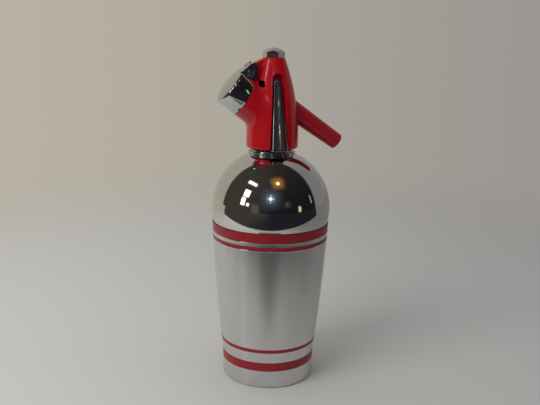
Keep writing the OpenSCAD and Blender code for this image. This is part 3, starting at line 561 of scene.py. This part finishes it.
def lip(z, proud):
    """Section points, going up, of the rounded lip under a stripe whose edge is at z."""
    steps = 8
    points = []
    for i in range(steps + 1):
        u = i / steps
        height = z - LIP_TALL * (1 - u)
        points.append((side_radius(height) + proud * math.sin(math.pi * u) ** 0.5, height))
    return points


def side_section():
    """Outer section points of the side, going up, with the stripes' grooves."""
    stops = []
    for node, proud in LIP_PROUD.items():
        low, high = stripe_span(node)
        groove = [(side_radius(z) - STRIPE_DEPTH, z) for z in (low, high)]
        groove.append((side_radius(high), high))
        start = lip(low, proud) if proud else [(side_radius(low), low)]
        stops.append((start[0][1], high, start + groove))
    stops.sort()
    points = []
    z = FOOT_ROUND
    gap = 2.5 * MM
    nearest = 0.2 * MM
    first = 0.6 * MM
    for start, end, made in stops:
        while z < start - nearest:
            points.append((side_radius(z), z))
            z += min(gap, start - z)
        points += made
        z = end + first
    return points


def bottle_section():
    """The bottle's closed section: outside going up, then inside coming down."""
    neck_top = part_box("bottle")[1].z
    neck_angle = math.degrees(math.acos(NECK_R / DOME_R))
    rim_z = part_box("shoulder_stripe_wide")[1].z
    rim_angle = math.degrees(math.asin((rim_z - DOME_Z) / DOME_R))
    bore_angle = math.degrees(math.acos(NECK_BORE / (DOME_R - WALL)))
    outside = [(0, FOOT_DISH), (FOOT_DISH_R, FOOT_DISH), (FOOT_RING_R, 0),
               (FOOT_R - FOOT_ROUND, 0)]
    outside += arc((FOOT_R - FOOT_ROUND, FOOT_ROUND), FOOT_ROUND, -80, 0, 7)
    outside += side_section()[1:]
    outside += arc((0, DOME_Z), DOME_R, rim_angle, neck_angle, 60)
    outside += [(NECK_R, neck_top - NECK_EDGE), (NECK_R - NECK_EDGE, neck_top)]
    inside = [(NECK_BORE, neck_top)]
    inside += arc((0, DOME_Z), DOME_R - WALL, bore_angle, rim_angle, 30)
    inside += [(side_radius(z) - WALL, z) for z in np.linspace(SHOULDER_Z, INNER_FOOT, 16)]
    inside += [(FOOT_R - INNER_FOOT, WALL + FOOT_DISH), (0, WALL + FOOT_DISH)]
    return outside + inside


def stripe_section(node):
    """A stripe's section, its lacquer a hair proud of the side with rounded edges."""
    low, high = stripe_span(node)
    deep = STRIPE_DEPTH - PLAY
    foot = low + PLAY
    top = high - PLAY
    points = [(side_radius(low) - deep, foot), (side_radius(low), foot)]
    steps = 10
    for i in range(steps + 1):
        z = low + STRIPE_EDGE + (high - low - 2 * STRIPE_EDGE) * i / steps
        points.append((side_radius(z) + STRIPE_PROUD, z))
    return points + [(side_radius(high), top), (side_radius(high) - deep, top)]


def collar_section():
    """Two round beads with a groove between them, closed against the dome."""
    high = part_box("neck_collar")[1]
    top = high.z
    inner = NECK_R + PLAY
    bead_x = high.x - BEAD / 2
    low_bead = top - 1.5 * BEAD - BEAD_GAP
    groove = high.x - 0.75 * BEAD
    foot = low_bead - BEAD / 2 - COLLAR_FOOT
    points = [(inner, top), (bead_x - COLLAR_RIM, top)]
    points += arc((bead_x, top - BEAD / 2), BEAD / 2, 90, -90, 12)
    points += [(groove, top - BEAD), (groove, top - BEAD - BEAD_GAP)]
    points += arc((bead_x, low_bead), BEAD / 2, 90, -90, 12)
    return points + [(high.x - BEAD, foot), (inner, foot)]


class SIPHON_OT_bottle(bpy.types.Operator):
    """Builds the bottle, its stripes and its collar"""

    bl_idname = "siphon.bottle"
    bl_label = "Bottle"

    def execute(self, context):
        scene = context.scene
        turns = scene.siphon_shape.turns
        finish = scene.siphon_finish
        shell = new_piece("bottle_shell", spin_section(bottle_section(), turns))
        fit_piece(shell, "bottle", "bottle_metal", aluminium_material(finish), "bottle")
        lacquer = moulded_material("stripe_lacquer", finish.stripe_red, roughness=0.36,
                                   wave=0.02 * MM, coat=0.06)
        for node in LIP_PROUD:
            band = new_piece(node + "_band", spin_section(stripe_section(node), turns))
            fit_piece(band, "bottle", "stripe_lacquer", lacquer, node)
        beads = new_piece("collar_beads", spin_section(collar_section(), turns))
        plate = chrome_material(finish, "collar_plate", wave=0, haze=0.09)
        fit_piece(beads, "bottle", "collar_chrome", plate, "neck_collar")
        return {"FINISHED"}


# ---- Casing ---------------------------------------------------------------------------


def cone_distance(points):
    """How far points lie outside the casing's curved cone, less than 0 within it."""
    radius = np.hypot(points[:, 0], points[:, 1])
    height = points[:, 2] - HEAD_Z
    bent = np.hypot(radius - (HEAD_R - HEAD_CURVE), height - HEAD_FOOT) - HEAD_CURVE
    return np.where(height < HEAD_FOOT, radius - HEAD_R, bent)


def rod_distance(points, start, axis, radius):
    """How far points lie outside a long round rod."""
    away = points - np.array(start)
    along = away @ np.array(axis)
    return np.linalg.norm(away - np.outer(along, np.array(axis)), axis=1) - radius


def branch_distance(points):
    """How far points lie outside the charger's branch, which stands to -X only."""
    rod = rod_distance(points, CHARGER_NOSE, CHARGER_AXIS, BRANCH_R)
    return np.where(points[:, 0] < 0, rod, FAR_OFF)


def blended(first, second, reach):
    """The distance to two bodies joined by a soft blend of a reach."""
    overlap = np.maximum(reach - np.abs(first - second), 0) / reach
    return np.minimum(first, second) - overlap * overlap * reach / 4


def casing_distance(points, shape):
    """The distance to the casing's whole outside, its soft blend and all."""
    return blended(cone_distance(points), branch_distance(points), shape.branch_blend)


def pull_to_surface(points, shape, rounds=4):
    """Moves points along the distance's slope until it is zero."""
    nudge = 0.01 * MM
    flattest = 0.2
    for _ in range(rounds):
        distance = casing_distance(points, shape)
        slope = np.stack([
            (casing_distance(points + nudge * np.eye(3)[k], shape) - distance) / nudge
            for k in range(3)], axis=1)
        size = np.maximum((slope * slope).sum(axis=1), flattest)
        points = points - slope * (distance / size)[:, None]
    return points


def remeshed(bm, name, size):
    """A bmesh remade of even faces of a size."""
    source = new_piece(name, bm)
    modifier = source.modifiers.new("even", "REMESH")
    modifier.mode = "VOXEL"
    modifier.voxel_size = size
    modifier.use_smooth_shade = True
    made = source.evaluated_get(bpy.context.evaluated_depsgraph_get())
    fine = bmesh.new()
    fine.from_mesh(made.to_mesh())
    made.to_mesh_clear()
    old = source.data
    bpy.data.objects.remove(source)
    bpy.data.meshes.remove(old)
    return fine


def casing_mesh(shape):
    """The casing, remade of fine faces, with its branch blended in and no ring."""
    fine = remeshed(merged_node("head_cover"), "casing_source", shape.casing_grain)
    fine.verts.ensure_lookup_table()
    points = np.array([v.co for v in fine.verts])
    cone = cone_distance(points)
    branch = branch_distance(points)
    ring = rod_distance(points, SPOUT_FROM, SPOUT_AXIS, RING_R)
    on_ring = (points[:, 0] > 0) & (np.abs(ring) < RING_SIDE)
    on_ring &= (cone > -RING_SINK) & (cone < RING_OUT)
    on_skin = np.abs(np.minimum(cone, branch)) < SKIN_REACH
    outer = (on_skin | on_ring) & (points[:, 2] > HEAD_Z + HEAD_LOW_EDGE)
    outer &= points[:, 2] < HEAD_Z + HEAD_HIGH_EDGE
    moved = pull_to_surface(points[outer], shape)
    for index, place in zip(np.flatnonzero(outer), moved):
        fine.verts[index].co = place
    bmesh.ops.smooth_vert(fine, verts=fine.verts, factor=CASING_SMOOTHING, use_axis_x=True,
                          use_axis_y=True, use_axis_z=True)
    bmesh.ops.recalc_face_normals(fine, faces=fine.faces)
    return fine


class SIPHON_OT_casing(bpy.types.Operator):
    """Builds the head's red casing with its soft blends"""

    bl_idname = "siphon.casing"
    bl_label = "Casing"

    def execute(self, context):
        scene = context.scene
        finish = scene.siphon_finish
        casing = new_piece("head_casing", casing_mesh(scene.siphon_shape), sharp=60)
        red = moulded_material("casing_red", finish.head_red, roughness=0.13,
                               wave=0.16 * MM, coat=0.25)
        fit_piece(casing, "head", "head_red", red, "head_cover")
        return {"FINISHED"}


# ---- Spout ----------------------------------------------------------------------------


def spout_section():
    """The spout's section along its own axis, from its hidden root to its round tip."""
    points = [(SPOUT_BORE, SPOUT_ROOT), (SPOUT_ROOT_R, SPOUT_ROOT)]
    body = SPOUT_TIP - SPOUT_EDGE
    steps = 24
    for i in range(1, steps):
        u = i / steps
        points.append((SPOUT_ROOT_R + (SPOUT_TIP_R - SPOUT_ROOT_R) * u,
                       SPOUT_ROOT + (body - SPOUT_ROOT) * u))
    points += arc((SPOUT_TIP_R - SPOUT_EDGE, body), SPOUT_EDGE, 0, 90, 8)
    points += arc((SPOUT_BORE + SPOUT_LIP, SPOUT_TIP - SPOUT_LIP), SPOUT_LIP, 90, 180, 5)
    return points


class SIPHON_OT_spout(bpy.types.Operator):
    """Builds the spout"""

    bl_idname = "siphon.spout"
    bl_label = "Spout"

    def execute(self, context):
        finish = context.scene.siphon_finish
        bm = spin_section(spout_section(), SPOUT_TURNS)
        place = tilted_frame(SPOUT_FROM, SPOUT_AXIS)
        bmesh.ops.transform(bm, matrix=place, verts=bm.verts)
        bmesh.ops.recalc_face_normals(bm, faces=bm.faces)
        spout = new_piece("spout_tube", bm)
        red = moulded_material("spout_red", finish.spout_red, roughness=0.30,
                               wave=0.06 * MM, coat=0.12)
        fit_piece(spout, "head", "spout_red", red, "spout")
        return {"FINISHED"}


# ---- Lever ----------------------------------------------------------------------------


def lever_half_width(z):
    """Half the lever's width at a height in its own frame."""
    u = min(1, max(0, (LEVER_EYE - z) / (LEVER_EYE + LEVER_DROP)))
    return LEVER_TOP_W / 2 + (LEVER_LOW_W - LEVER_TOP_W) / 2 * u


def lever_outline():
    """Points round the lever's face, going anticlockwise from its lower left corner."""
    foot_gap = 3 * MM
    eye_gap = 1 * MM
    corner_x = LEVER_LOW_W / 2 - LEVER_CORNER
    corner_z = LEVER_CORNER - LEVER_DROP
    heights = np.linspace(corner_z + foot_gap, LEVER_EYE - eye_gap, 14)
    points = arc((-corner_x, corner_z), LEVER_CORNER, 180, 270, 6)
    points += arc((corner_x, corner_z), LEVER_CORNER, 270, 360, 6)
    points += [(lever_half_width(z), z) for z in heights]
    points += arc((0, LEVER_EYE), LEVER_TOP_W / 2, 0, 180, 18)
    points += [(-lever_half_width(z), z) for z in reversed(heights)]
    return points


def lever_mesh(rim):
    """The lever: a bent sheet with a softly rounded face, in its own frame."""
    bm = bmesh.new()
    verts = [bm.verts.new((x, -LEVER_FACE, z)) for x, z in lever_outline()]
    face = bm.faces.new(verts)
    deep = LEVER_FACE + LEVER_BACK
    made = bmesh.ops.extrude_face_region(bm, geom=[face])
    back = [v for v in made["geom"] if isinstance(v, bmesh.types.BMVert)]
    bmesh.ops.translate(bm, verts=back, vec=(0, deep, 0))
    bmesh.ops.recalc_face_normals(bm, faces=bm.faces)
    front = [e for e in bm.edges
             if all(abs(v.co.y + LEVER_FACE) < ON_PLANE for v in e.verts)]
    round_edges(bm, front, rim, 5)
    rear = [f for f in bm.faces
            if all(abs(v.co.y - LEVER_BACK) < ON_PLANE for v in f.verts)]
    bmesh.ops.delete(bm, geom=rear, context="FACES")
    cut(bm, (0, LEVER_FOOT_BACK, -LEVER_DROP), (0, 1, -LEVER_BACK_LEAN), clear=True)
    cut(bm, (0, LEVER_BACK, LEVER_EYE_CUT), (0, LEVER_EYE_LEAN, 1), clear=True)
    return bm


def crown_face(bm, height):
    """Bulges the lever's face a little across its width."""
    rim = 1.2 * MM
    for vert in bm.verts:
        half = lever_half_width(vert.co.z)
        across = min(1, abs(vert.co.x) / half)
        share = max(0, 1 - across * across)
        ahead = max(0, min(1, (-vert.co.y - LEVER_FACE + rim) / rim))
        vert.co.y -= height * share * ahead


def lever_grid(bm):
    """Cuts the lever's face into even strips, so that it can be bulged."""
    for z in np.arange(-LEVER_DROP + LEVER_STRIP_FROM, LEVER_TOP, LEVER_STRIP):
        cut(bm, (0, 0, z), (0, 0, 1))
    for share in LEVER_STRIP_SHARES:
        lean = share * (LEVER_LOW_W - LEVER_TOP_W) / 2 / (LEVER_DROP + LEVER_TOP)
        cut(bm, (share * LEVER_TOP_W / 2, 0, 0), (1, 0, lean))


class SIPHON_OT_lever(bpy.types.Operator):
    """Builds the squeeze lever"""

    bl_idname = "siphon.lever"
    bl_label = "Lever"

    def execute(self, context):
        scene = context.scene
        finish = scene.siphon_finish
        bm = lever_mesh(scene.siphon_shape.lever_rim)
        lever_grid(bm)
        crown_face(bm, LEVER_CROWN)
        bmesh.ops.solidify(bm, geom=bm.faces[:], thickness=LEVER_SHEET)
        turn = Matrix.Rotation(-LEVER_TILT, 4, "X")
        bmesh.ops.transform(bm, matrix=Matrix.Translation(LEVER_PIN) @ turn, verts=bm.verts)
        close_up(bm)
        lever = new_piece("lever_sheet", bm, sharp=40)
        plate = chrome_material(finish, "lever_plate", wave=0.02 * MM)
        fit_piece(lever, "lever", "chrome", plate, "lever")
        dress_node("lever_stop_pin", plain_material(finish, "pin_steel"))
        return {"FINISHED"}


# ---- Charger cover and cap ------------------------------------------------------------


class SIPHON_OT_charger_cover(bpy.types.Operator):
    """Builds the hinged charger cover and its pin"""

    bl_idname = "siphon.charger_cover"
    bl_label = "Charger cover"

    def execute(self, context):
        finish = context.scene.siphon_finish
        shape = context.scene.siphon_shape
        cover = softened_node("charger_cover", "cover_cup", shape.edge)
        fit_piece(cover, "cover", "chrome", chrome_material(finish), "charger_cover")
        dress_node("cover_hinge_pin", plain_material(finish, "pin_steel"))
        dress_node("charger_pad", plain_material(finish, "seal_rubber"))
        return {"FINISHED"}


class SIPHON_OT_cap(bpy.types.Operator):
    """Builds the cap nut on top of the head"""

    bl_idname = "siphon.cap"
    bl_label = "Cap nut"

    def execute(self, context):
        finish = context.scene.siphon_finish
        shape = context.scene.siphon_shape
        nut = softened_node("cap_nut", "cap_hexagon", shape.edge)
        nut.data.transform(Matrix.Rotation(shape.cap_turn, 4, "Z"))
        fit_piece(nut, "head", "chrome", chrome_material(finish), "cap_nut")
        dress_node("cap_washer", plain_material(finish, "seal_rubber"))
        return {"FINISHED"}


# ---- Inner works ----------------------------------------------------------------------


INNER_PIECES = {
    "cast_brass": ("valve_body",),
    "turned_brass": ("charger_sleeve", "valve_gland", "valve_plug", "dip_tube_nut"),
    "pin_steel": ("piercing_pin", "valve_seat", "valve_spring", "lever_pin", "valve_stem"),
    "seal_rubber": ("spout_seal", "pin_gasket", "non_return_sleeve", "gland_ring",
                    "plug_washer", "neck_seal", "valve_washer"),
    "tube_plastic": ("dip_tube",),
}


class SIPHON_OT_inner_works(bpy.types.Operator):
    """Finishes the pieces inside the head and the bottle"""

    bl_idname = "siphon.inner_works"
    bl_label = "Inner works"

    def execute(self, context):
        finish = context.scene.siphon_finish
        for name, nodes in INNER_PIECES.items():
            material = plain_material(finish, name)
            for node in nodes:
                dress_node(node, material)
        return {"FINISHED"}


# ---- Stage ----------------------------------------------------------------------------


# The mirrored room's walls and ceiling, on its left and on its right
ROOM_LEFT = (0.062, 0.05, 0.036)
ROOM_RIGHT = (0.012, 0.011, 0.014)
CEILING_LEFT = (0.055, 0.047, 0.038)
CEILING_RIGHT = (0.022, 0.019, 0.017)

# Patches of the room: turn from the camera to the right and rise, both in degrees, then
# half the width, half the height and the softness as sines of their angles, and colour
ROOM_PATCHES = (
    # Paler parts of the room and a bluish shade
    (33, 15, 0.12, 0.10, 0.06, (0.042, 0.041, 0.046)),
    (-30, 2, 0.13, 0.22, 0.05, (0.10, 0.10, 0.095)),
    (3, -22, 0.12, 0.12, 0.08, (0.02, 0.03, 0.07)),
    # Windows on the left
    (-54, 30.6, 0.10, 0.10, 0.02, (3.6, 3.7, 3.9)),
    (-57, 16, 0.07, 0.11, 0.02, (3.4, 3.5, 3.7)),
    (-46, 12, 0.05, 0.05, 0.02, (1.6, 1.6, 1.7)),
    (-54, 50, 0.16, 0.04, 0.03, (2.6, 2.6, 2.5)),
    # Lamp with its glow
    (22, 58, 0.15, 0.15, 0.13, (0.5, 0.24, 0.05)),
    (22, 57, 0.04, 0.04, 0.03, (4.0, 2.8, 1.0)),
    # Flash with its two halos and its star
    (0, 27.7, 0.24, 0.24, 0.23, (0.09, 0.11, 0.15)),
    (0, 27.7, 0.10, 0.10, 0.09, (0.34, 0.40, 0.52)),
    (0, 27.7, 0.13, 0.006, 0.006, (1.2, 1.3, 1.6)),
    (0, 27.7, 0.006, 0.15, 0.006, (1.2, 1.3, 1.6)),
    (0, 27.7, 0.03, 0.03, 0.022, (6.0, 6.0, 6.6)),
    # Small lights on the right
    (33, 17.0, 0.006, 0.003, 0.002, (4.0, 2.4, 1.1)),
    (33, 14.4, 0.006, 0.010, 0.004, (0.5, 0.28, 0.10)),
    (33, 15.0, 0.006, 0.003, 0.002, (5.0, 3.3, 1.7)),
    (33, 12.8, 0.005, 0.001, 0.002, (4.0, 4.0, 5.0)),
    # Pale strips far on the right
    (58, 4, 0.05, 0.08, 0.02, (0.75, 0.8, 0.42)),
    (87, 13, 0.02, 0.10, 0.02, (0.5, 0.52, 0.3)),
)

# Where the mirrored room gives way to the backdrop, by the reach towards the camera
BACKDROP_EDGE = (-0.14, -0.22)
BACKDROP_LEAN = -0.073
BACKDROP_BOW = 0.16

# Floor in metres: where it runs into the wall, and where metal mirrors it dark, a painted
# reflection of a dark room that is paler on the left, with painted shadows
FLOOR_R = 6.0
FLOOR_FADE = (0.35, 1.3)
DARK_EDGE = (0.29, 0.33)
DARK_BOW = 0.53
DARK_SIDES = (-0.16, -0.08)
PAINTED_DARK_LEFT = (0.06, 0.05, 0.042)
PAINTED_DARK_RIGHT = (0.018, 0.018, 0.022)
# A painted shadow of the bottle on the floor to the right, seen only in metal
SHADE_EDGE = (0.05, 0.35)
SHADE = 0.36
# A painted shadow on the floor in front, which metal mirrors as a brownish wedge
WEDGE_FROM = 0.165
WEDGE_SPREAD = 1.25
WEDGE_EDGE = (-0.01, 0.03)
WEDGE_END = (0.29, 0.27)
PAINTED_SHADOW_TINT_END = (0.30, 0.27)
PAINTED_SHADOW_TINT = (0.16, 0.14, 0.12)

# Lights: place, size and colour
LIGHTS = {
    "key": ((-1.15, -0.62, 1.1), 0.9, (1.0, 0.99, 0.97)),
    "fill": ((1.2, -0.4, 0.8), 1.1, (1.0, 0.98, 0.95)),
}
SIPHON_MIDDLE = Vector((0, 0, 180 * MM))


def patch(s, direction, turn, rise, half_width, half_height, soft):
    """A mask of a rectangle of the room, by its turn from the camera and its rise."""
    turn = math.radians(turn)
    rise = math.radians(rise)
    level = TOWARDS_CAMERA * math.cos(turn) + CAMERA_RIGHT * math.sin(turn)
    centre = level * math.cos(rise) + Vector((0, 0, 1)) * math.sin(rise)
    across = Vector((0, 0, 1)).cross(level).normalized()
    up = centre.cross(across).normalized()
    wide = s.math("ABSOLUTE", s.dot(direction, across))
    tall = s.math("ABSOLUTE", s.dot(direction, up))
    mask = s.math("MULTIPLY", s.step(wide, half_width + soft, half_width - soft),
                  s.step(tall, half_height + soft, half_height - soft))
    facing = s.step(s.dot(direction, centre), 0.3, 0.4)
    return s.math("MULTIPLY", mask, facing)


def room_colour(s, direction, stage):
    """What polished metal shows: a dark room in front and the pale backdrop behind."""
    towards = s.dot(direction, TOWARDS_CAMERA)
    aside = s.dot(direction, CAMERA_RIGHT)
    rise = s.dot(direction, (0, 0, 1))
    room = s.mix(s.step(aside, -0.9, 0.15), opaque(ROOM_LEFT), opaque(ROOM_RIGHT))
    ceiling = s.mix(s.step(aside, -0.6, 0.6), opaque(CEILING_LEFT), opaque(CEILING_RIGHT))
    room = s.mix(s.step(rise, 0.2, 0.9), room, ceiling)
    for *shape, colour in ROOM_PATCHES:
        room = s.mix(patch(s, direction, *shape), room, opaque(colour))
    backdrop = s.mix(s.step(aside, -0.5, 0.8), opaque(stage.mirrored),
                     opaque(stage.mirrored_right))
    above = s.math("MAXIMUM", rise, 0.0)
    lean = s.math("ADD", s.math("MULTIPLY", aside, BACKDROP_LEAN),
                  s.math("MULTIPLY", s.math("MULTIPLY", above, above), BACKDROP_BOW))
    return s.mix(s.step(s.math("ADD", towards, lean), *BACKDROP_EDGE), room, backdrop)


def wall_colour(s, direction, stage):
    """The plain wall as the camera sees it, paler on the left."""
    return s.mix(s.step(s.dot(direction, CAMERA_RIGHT), -0.4, 0.4), opaque(stage.wall),
                 opaque(stage.wall_right))


def make_world(stage):
    """Soft light, stronger from the left, a plain wall and the room for reflections."""
    world = bpy.data.worlds.new("room")
    world.use_nodes = True
    bpy.context.scene.world = world
    s = Shader(world.node_tree)
    direction = s.node("ShaderNodeTexCoord").outputs["Generated"]
    aside = s.dot(direction, CAMERA_RIGHT)
    path = s.node("ShaderNodeLightPath").outputs
    ambient = s.mix(s.step(aside, -0.9, 0.9), opaque([stage.ambient] * 3),
                    opaque([stage.ambient_right] * 3))
    colour = s.mix(path["Is Glossy Ray"], ambient, room_colour(s, direction, stage))
    plain = s.math("MAXIMUM", path["Is Camera Ray"], path["Is Transmission Ray"])
    colour = s.mix(plain, colour, wall_colour(s, direction, stage))
    background = s.node("ShaderNodeBackground", {"Color": colour, "Strength": 1.0})
    s.node("ShaderNodeOutputWorld", {"Surface": background.outputs[0]})


def floor_material(stage):
    """A pale floor, painted paler on the left as if lit more from there, that runs into the
    wall's colour.

    Polished metal mirrors it dark in front, a painted reflection of a dark room, with a
    brownish wedge of painted shadow that starts nearer and a painted shadow on the right.
    """
    material, s = new_material("floor_cloth")
    place = s.place()
    towards = s.dot(place, TOWARDS_CAMERA)
    aside = s.dot(place, CAMERA_RIGHT)
    away = s.node("ShaderNodeVectorMath", {0: place}, operation="LENGTH").outputs["Value"]
    sight = s.node("ShaderNodeVectorMath", {0: place, 1: tuple(CAMERA_PLACE)},
                   operation="SUBTRACT").outputs["Vector"]
    sight = s.node("ShaderNodeVectorMath", {0: sight}, operation="NORMALIZE").outputs["Vector"]
    wall = s.node("ShaderNodeEmission", {"Color": wall_colour(s, sight, stage),
                                         "Strength": 1.0})
    # Painted light: the cloth is paler on the left, as if lit more from there
    floor_painted_falloff = s.mix(s.step(aside, -0.5, 0.6), opaque(stage.floor),
                         opaque(stage.floor_right))
    cloth = s.node("ShaderNodeBsdfDiffuse", {"Color": floor_painted_falloff})
    base = s.node("ShaderNodeMixShader", {0: s.step(away, *FLOOR_FADE), 1: cloth.outputs[0],
                                          2: wall.outputs[0]})
    # Painted reflection: seen only in metal, the floor in front shows a dark room, paler on
    # the left
    painted_reflection_and_shadow = s.mix(s.step(aside, -0.5, 0.05), opaque(PAINTED_DARK_LEFT), opaque(PAINTED_DARK_RIGHT))
    painted_reflection_and_shadow = s.mix(s.step(away, *PAINTED_SHADOW_TINT_END), painted_reflection_and_shadow, opaque(PAINTED_SHADOW_TINT))
    room = s.node("ShaderNodeEmission", {"Color": painted_reflection_and_shadow, "Strength": 1.0})
    bow = s.math("MULTIPLY", s.math("MULTIPLY", aside, aside), DARK_BOW)
    front = s.math("MULTIPLY", s.step(s.math("ADD", towards, bow), *DARK_EDGE),
                   s.step(s.math("DIVIDE", towards, away), *DARK_SIDES))
    # Painted shadow of the bottle on the floor to the right, seen only in metal
    front = s.math("MAXIMUM", front, s.step(aside, *SHADE_EDGE, 0, SHADE))
    # Painted shadow: a brownish wedge nearer in front, seen only in metal
    reach = s.math("MULTIPLY", s.math("SUBTRACT", towards, WEDGE_FROM), WEDGE_SPREAD)
    painted_shadow_wedge = s.step(s.math("SUBTRACT", reach, s.math("ABSOLUTE", aside)), *WEDGE_EDGE)
    painted_shadow_wedge = s.math("MULTIPLY", painted_shadow_wedge, s.step(away, *WEDGE_END))
    front = s.math("MAXIMUM", front, painted_shadow_wedge)
    # Only glossy rays see the painted reflection and the painted shadows
    mirrored = s.node("ShaderNodeLightPath").outputs["Is Glossy Ray"]
    ended = s.node("ShaderNodeMixShader", {0: s.math("MULTIPLY", front, mirrored),
                                           1: base.outputs[0], 2: room.outputs[0]})
    s.node("ShaderNodeOutputMaterial", {"Surface": ended.outputs[0]})
    return material


def area_light(name, power):
    """A soft square light that faces the siphon's middle."""
    place, size, colour = LIGHTS[name]
    light = bpy.data.lights.new(name, "AREA")
    light.size = size
    light.energy = power
    light.color = colour
    holder = bpy.data.objects.new(name, light)
    holder.location = place
    sight = SIPHON_MIDDLE - holder.location
    holder.rotation_euler = sight.to_track_quat("-Z", "Y").to_euler()
    holder.visible_glossy = False
    bpy.context.scene.collection.objects.link(holder)


def make_camera():
    """The camera at the photograph's place."""
    data = bpy.data.cameras.new("photo_camera")
    data.lens = CAMERA_LENS
    data.sensor_width = CAMERA_SENSOR
    data.shift_x = CAMERA_SHIFT
    camera = bpy.data.objects.new("photo_camera", data)
    turn = Matrix.Rotation(-CAMERA_AZIMUTH, 4, "Z")
    pitch = Matrix.Rotation(math.pi / 2 - CAMERA_PITCH, 4, "X")
    roll = Matrix.Rotation(CAMERA_ROLL, 4, "Z")
    camera.matrix_world = Matrix.Translation(CAMERA_PLACE) @ turn @ pitch @ roll
    bpy.context.scene.collection.objects.link(camera)
    bpy.context.scene.camera = camera


class SIPHON_OT_stage(bpy.types.Operator):
    """Sets the floor, the light and the camera"""

    bl_idname = "siphon.stage"
    bl_label = "Stage"

    def execute(self, context):
        stage = context.scene.siphon_stage
        context.scene.view_settings.view_transform = "Standard"
        bm = bmesh.new()
        bmesh.ops.create_circle(bm, cap_ends=True, segments=96, radius=FLOOR_R)
        floor = new_piece("floor", bm)
        floor.data.materials.append(floor_material(stage))
        make_world(stage)
        area_light("key", stage.key_power)
        area_light("fill", stage.fill_power)
        make_camera()
        return {"FINISHED"}


# ---- Panel and run --------------------------------------------------------------------


OPERATORS = (
    SIPHON_OT_bottle,
    SIPHON_OT_casing,
    SIPHON_OT_spout,
    SIPHON_OT_lever,
    SIPHON_OT_charger_cover,
    SIPHON_OT_cap,
    SIPHON_OT_inner_works,
    SIPHON_OT_stage,
)


class SIPHON_PT_panel(bpy.types.Panel):
    """The siphon's pieces and settings"""

    bl_idname = "SIPHON_PT_panel"
    bl_label = "Soda siphon"
    bl_space_type = "VIEW_3D"
    bl_region_type = "UI"
    bl_category = "Siphon"

    def draw(self, context):
        for operator in OPERATORS:
            self.layout.operator(operator.bl_idname)
        for settings in ("siphon_finish", "siphon_shape", "siphon_stage"):
            group = getattr(context.scene, settings)
            for name in group.bl_rna.properties.keys():
                if name not in ("rna_type", "name"):
                    self.layout.prop(group, name)


GROUPS = {
    "siphon_finish": SiphonFinish,
    "siphon_shape": SiphonShape,
    "siphon_stage": SiphonStage,
}


def register():
    """Registers the settings, the operators and the panel."""
    for name, group in GROUPS.items():
        bpy.utils.register_class(group)
        setattr(bpy.types.Scene, name, PointerProperty(type=group))
    for cls in (*OPERATORS, SIPHON_PT_panel):
        bpy.utils.register_class(cls)


def unregister():
    """Takes out what register put in."""
    for cls in (SIPHON_PT_panel, *reversed(OPERATORS)):
        bpy.utils.unregister_class(cls)
    for name, group in GROUPS.items():
        delattr(bpy.types.Scene, name)
        bpy.utils.unregister_class(group)


def main():
    """Builds the siphon."""
    register()
    bpy.ops.siphon.bottle()
    bpy.ops.siphon.casing()
    bpy.ops.siphon.spout()
    bpy.ops.siphon.lever()
    bpy.ops.siphon.charger_cover()
    bpy.ops.siphon.cap()
    bpy.ops.siphon.inner_works()
    bpy.ops.siphon.stage()


if __name__ == "__main__":
    main()
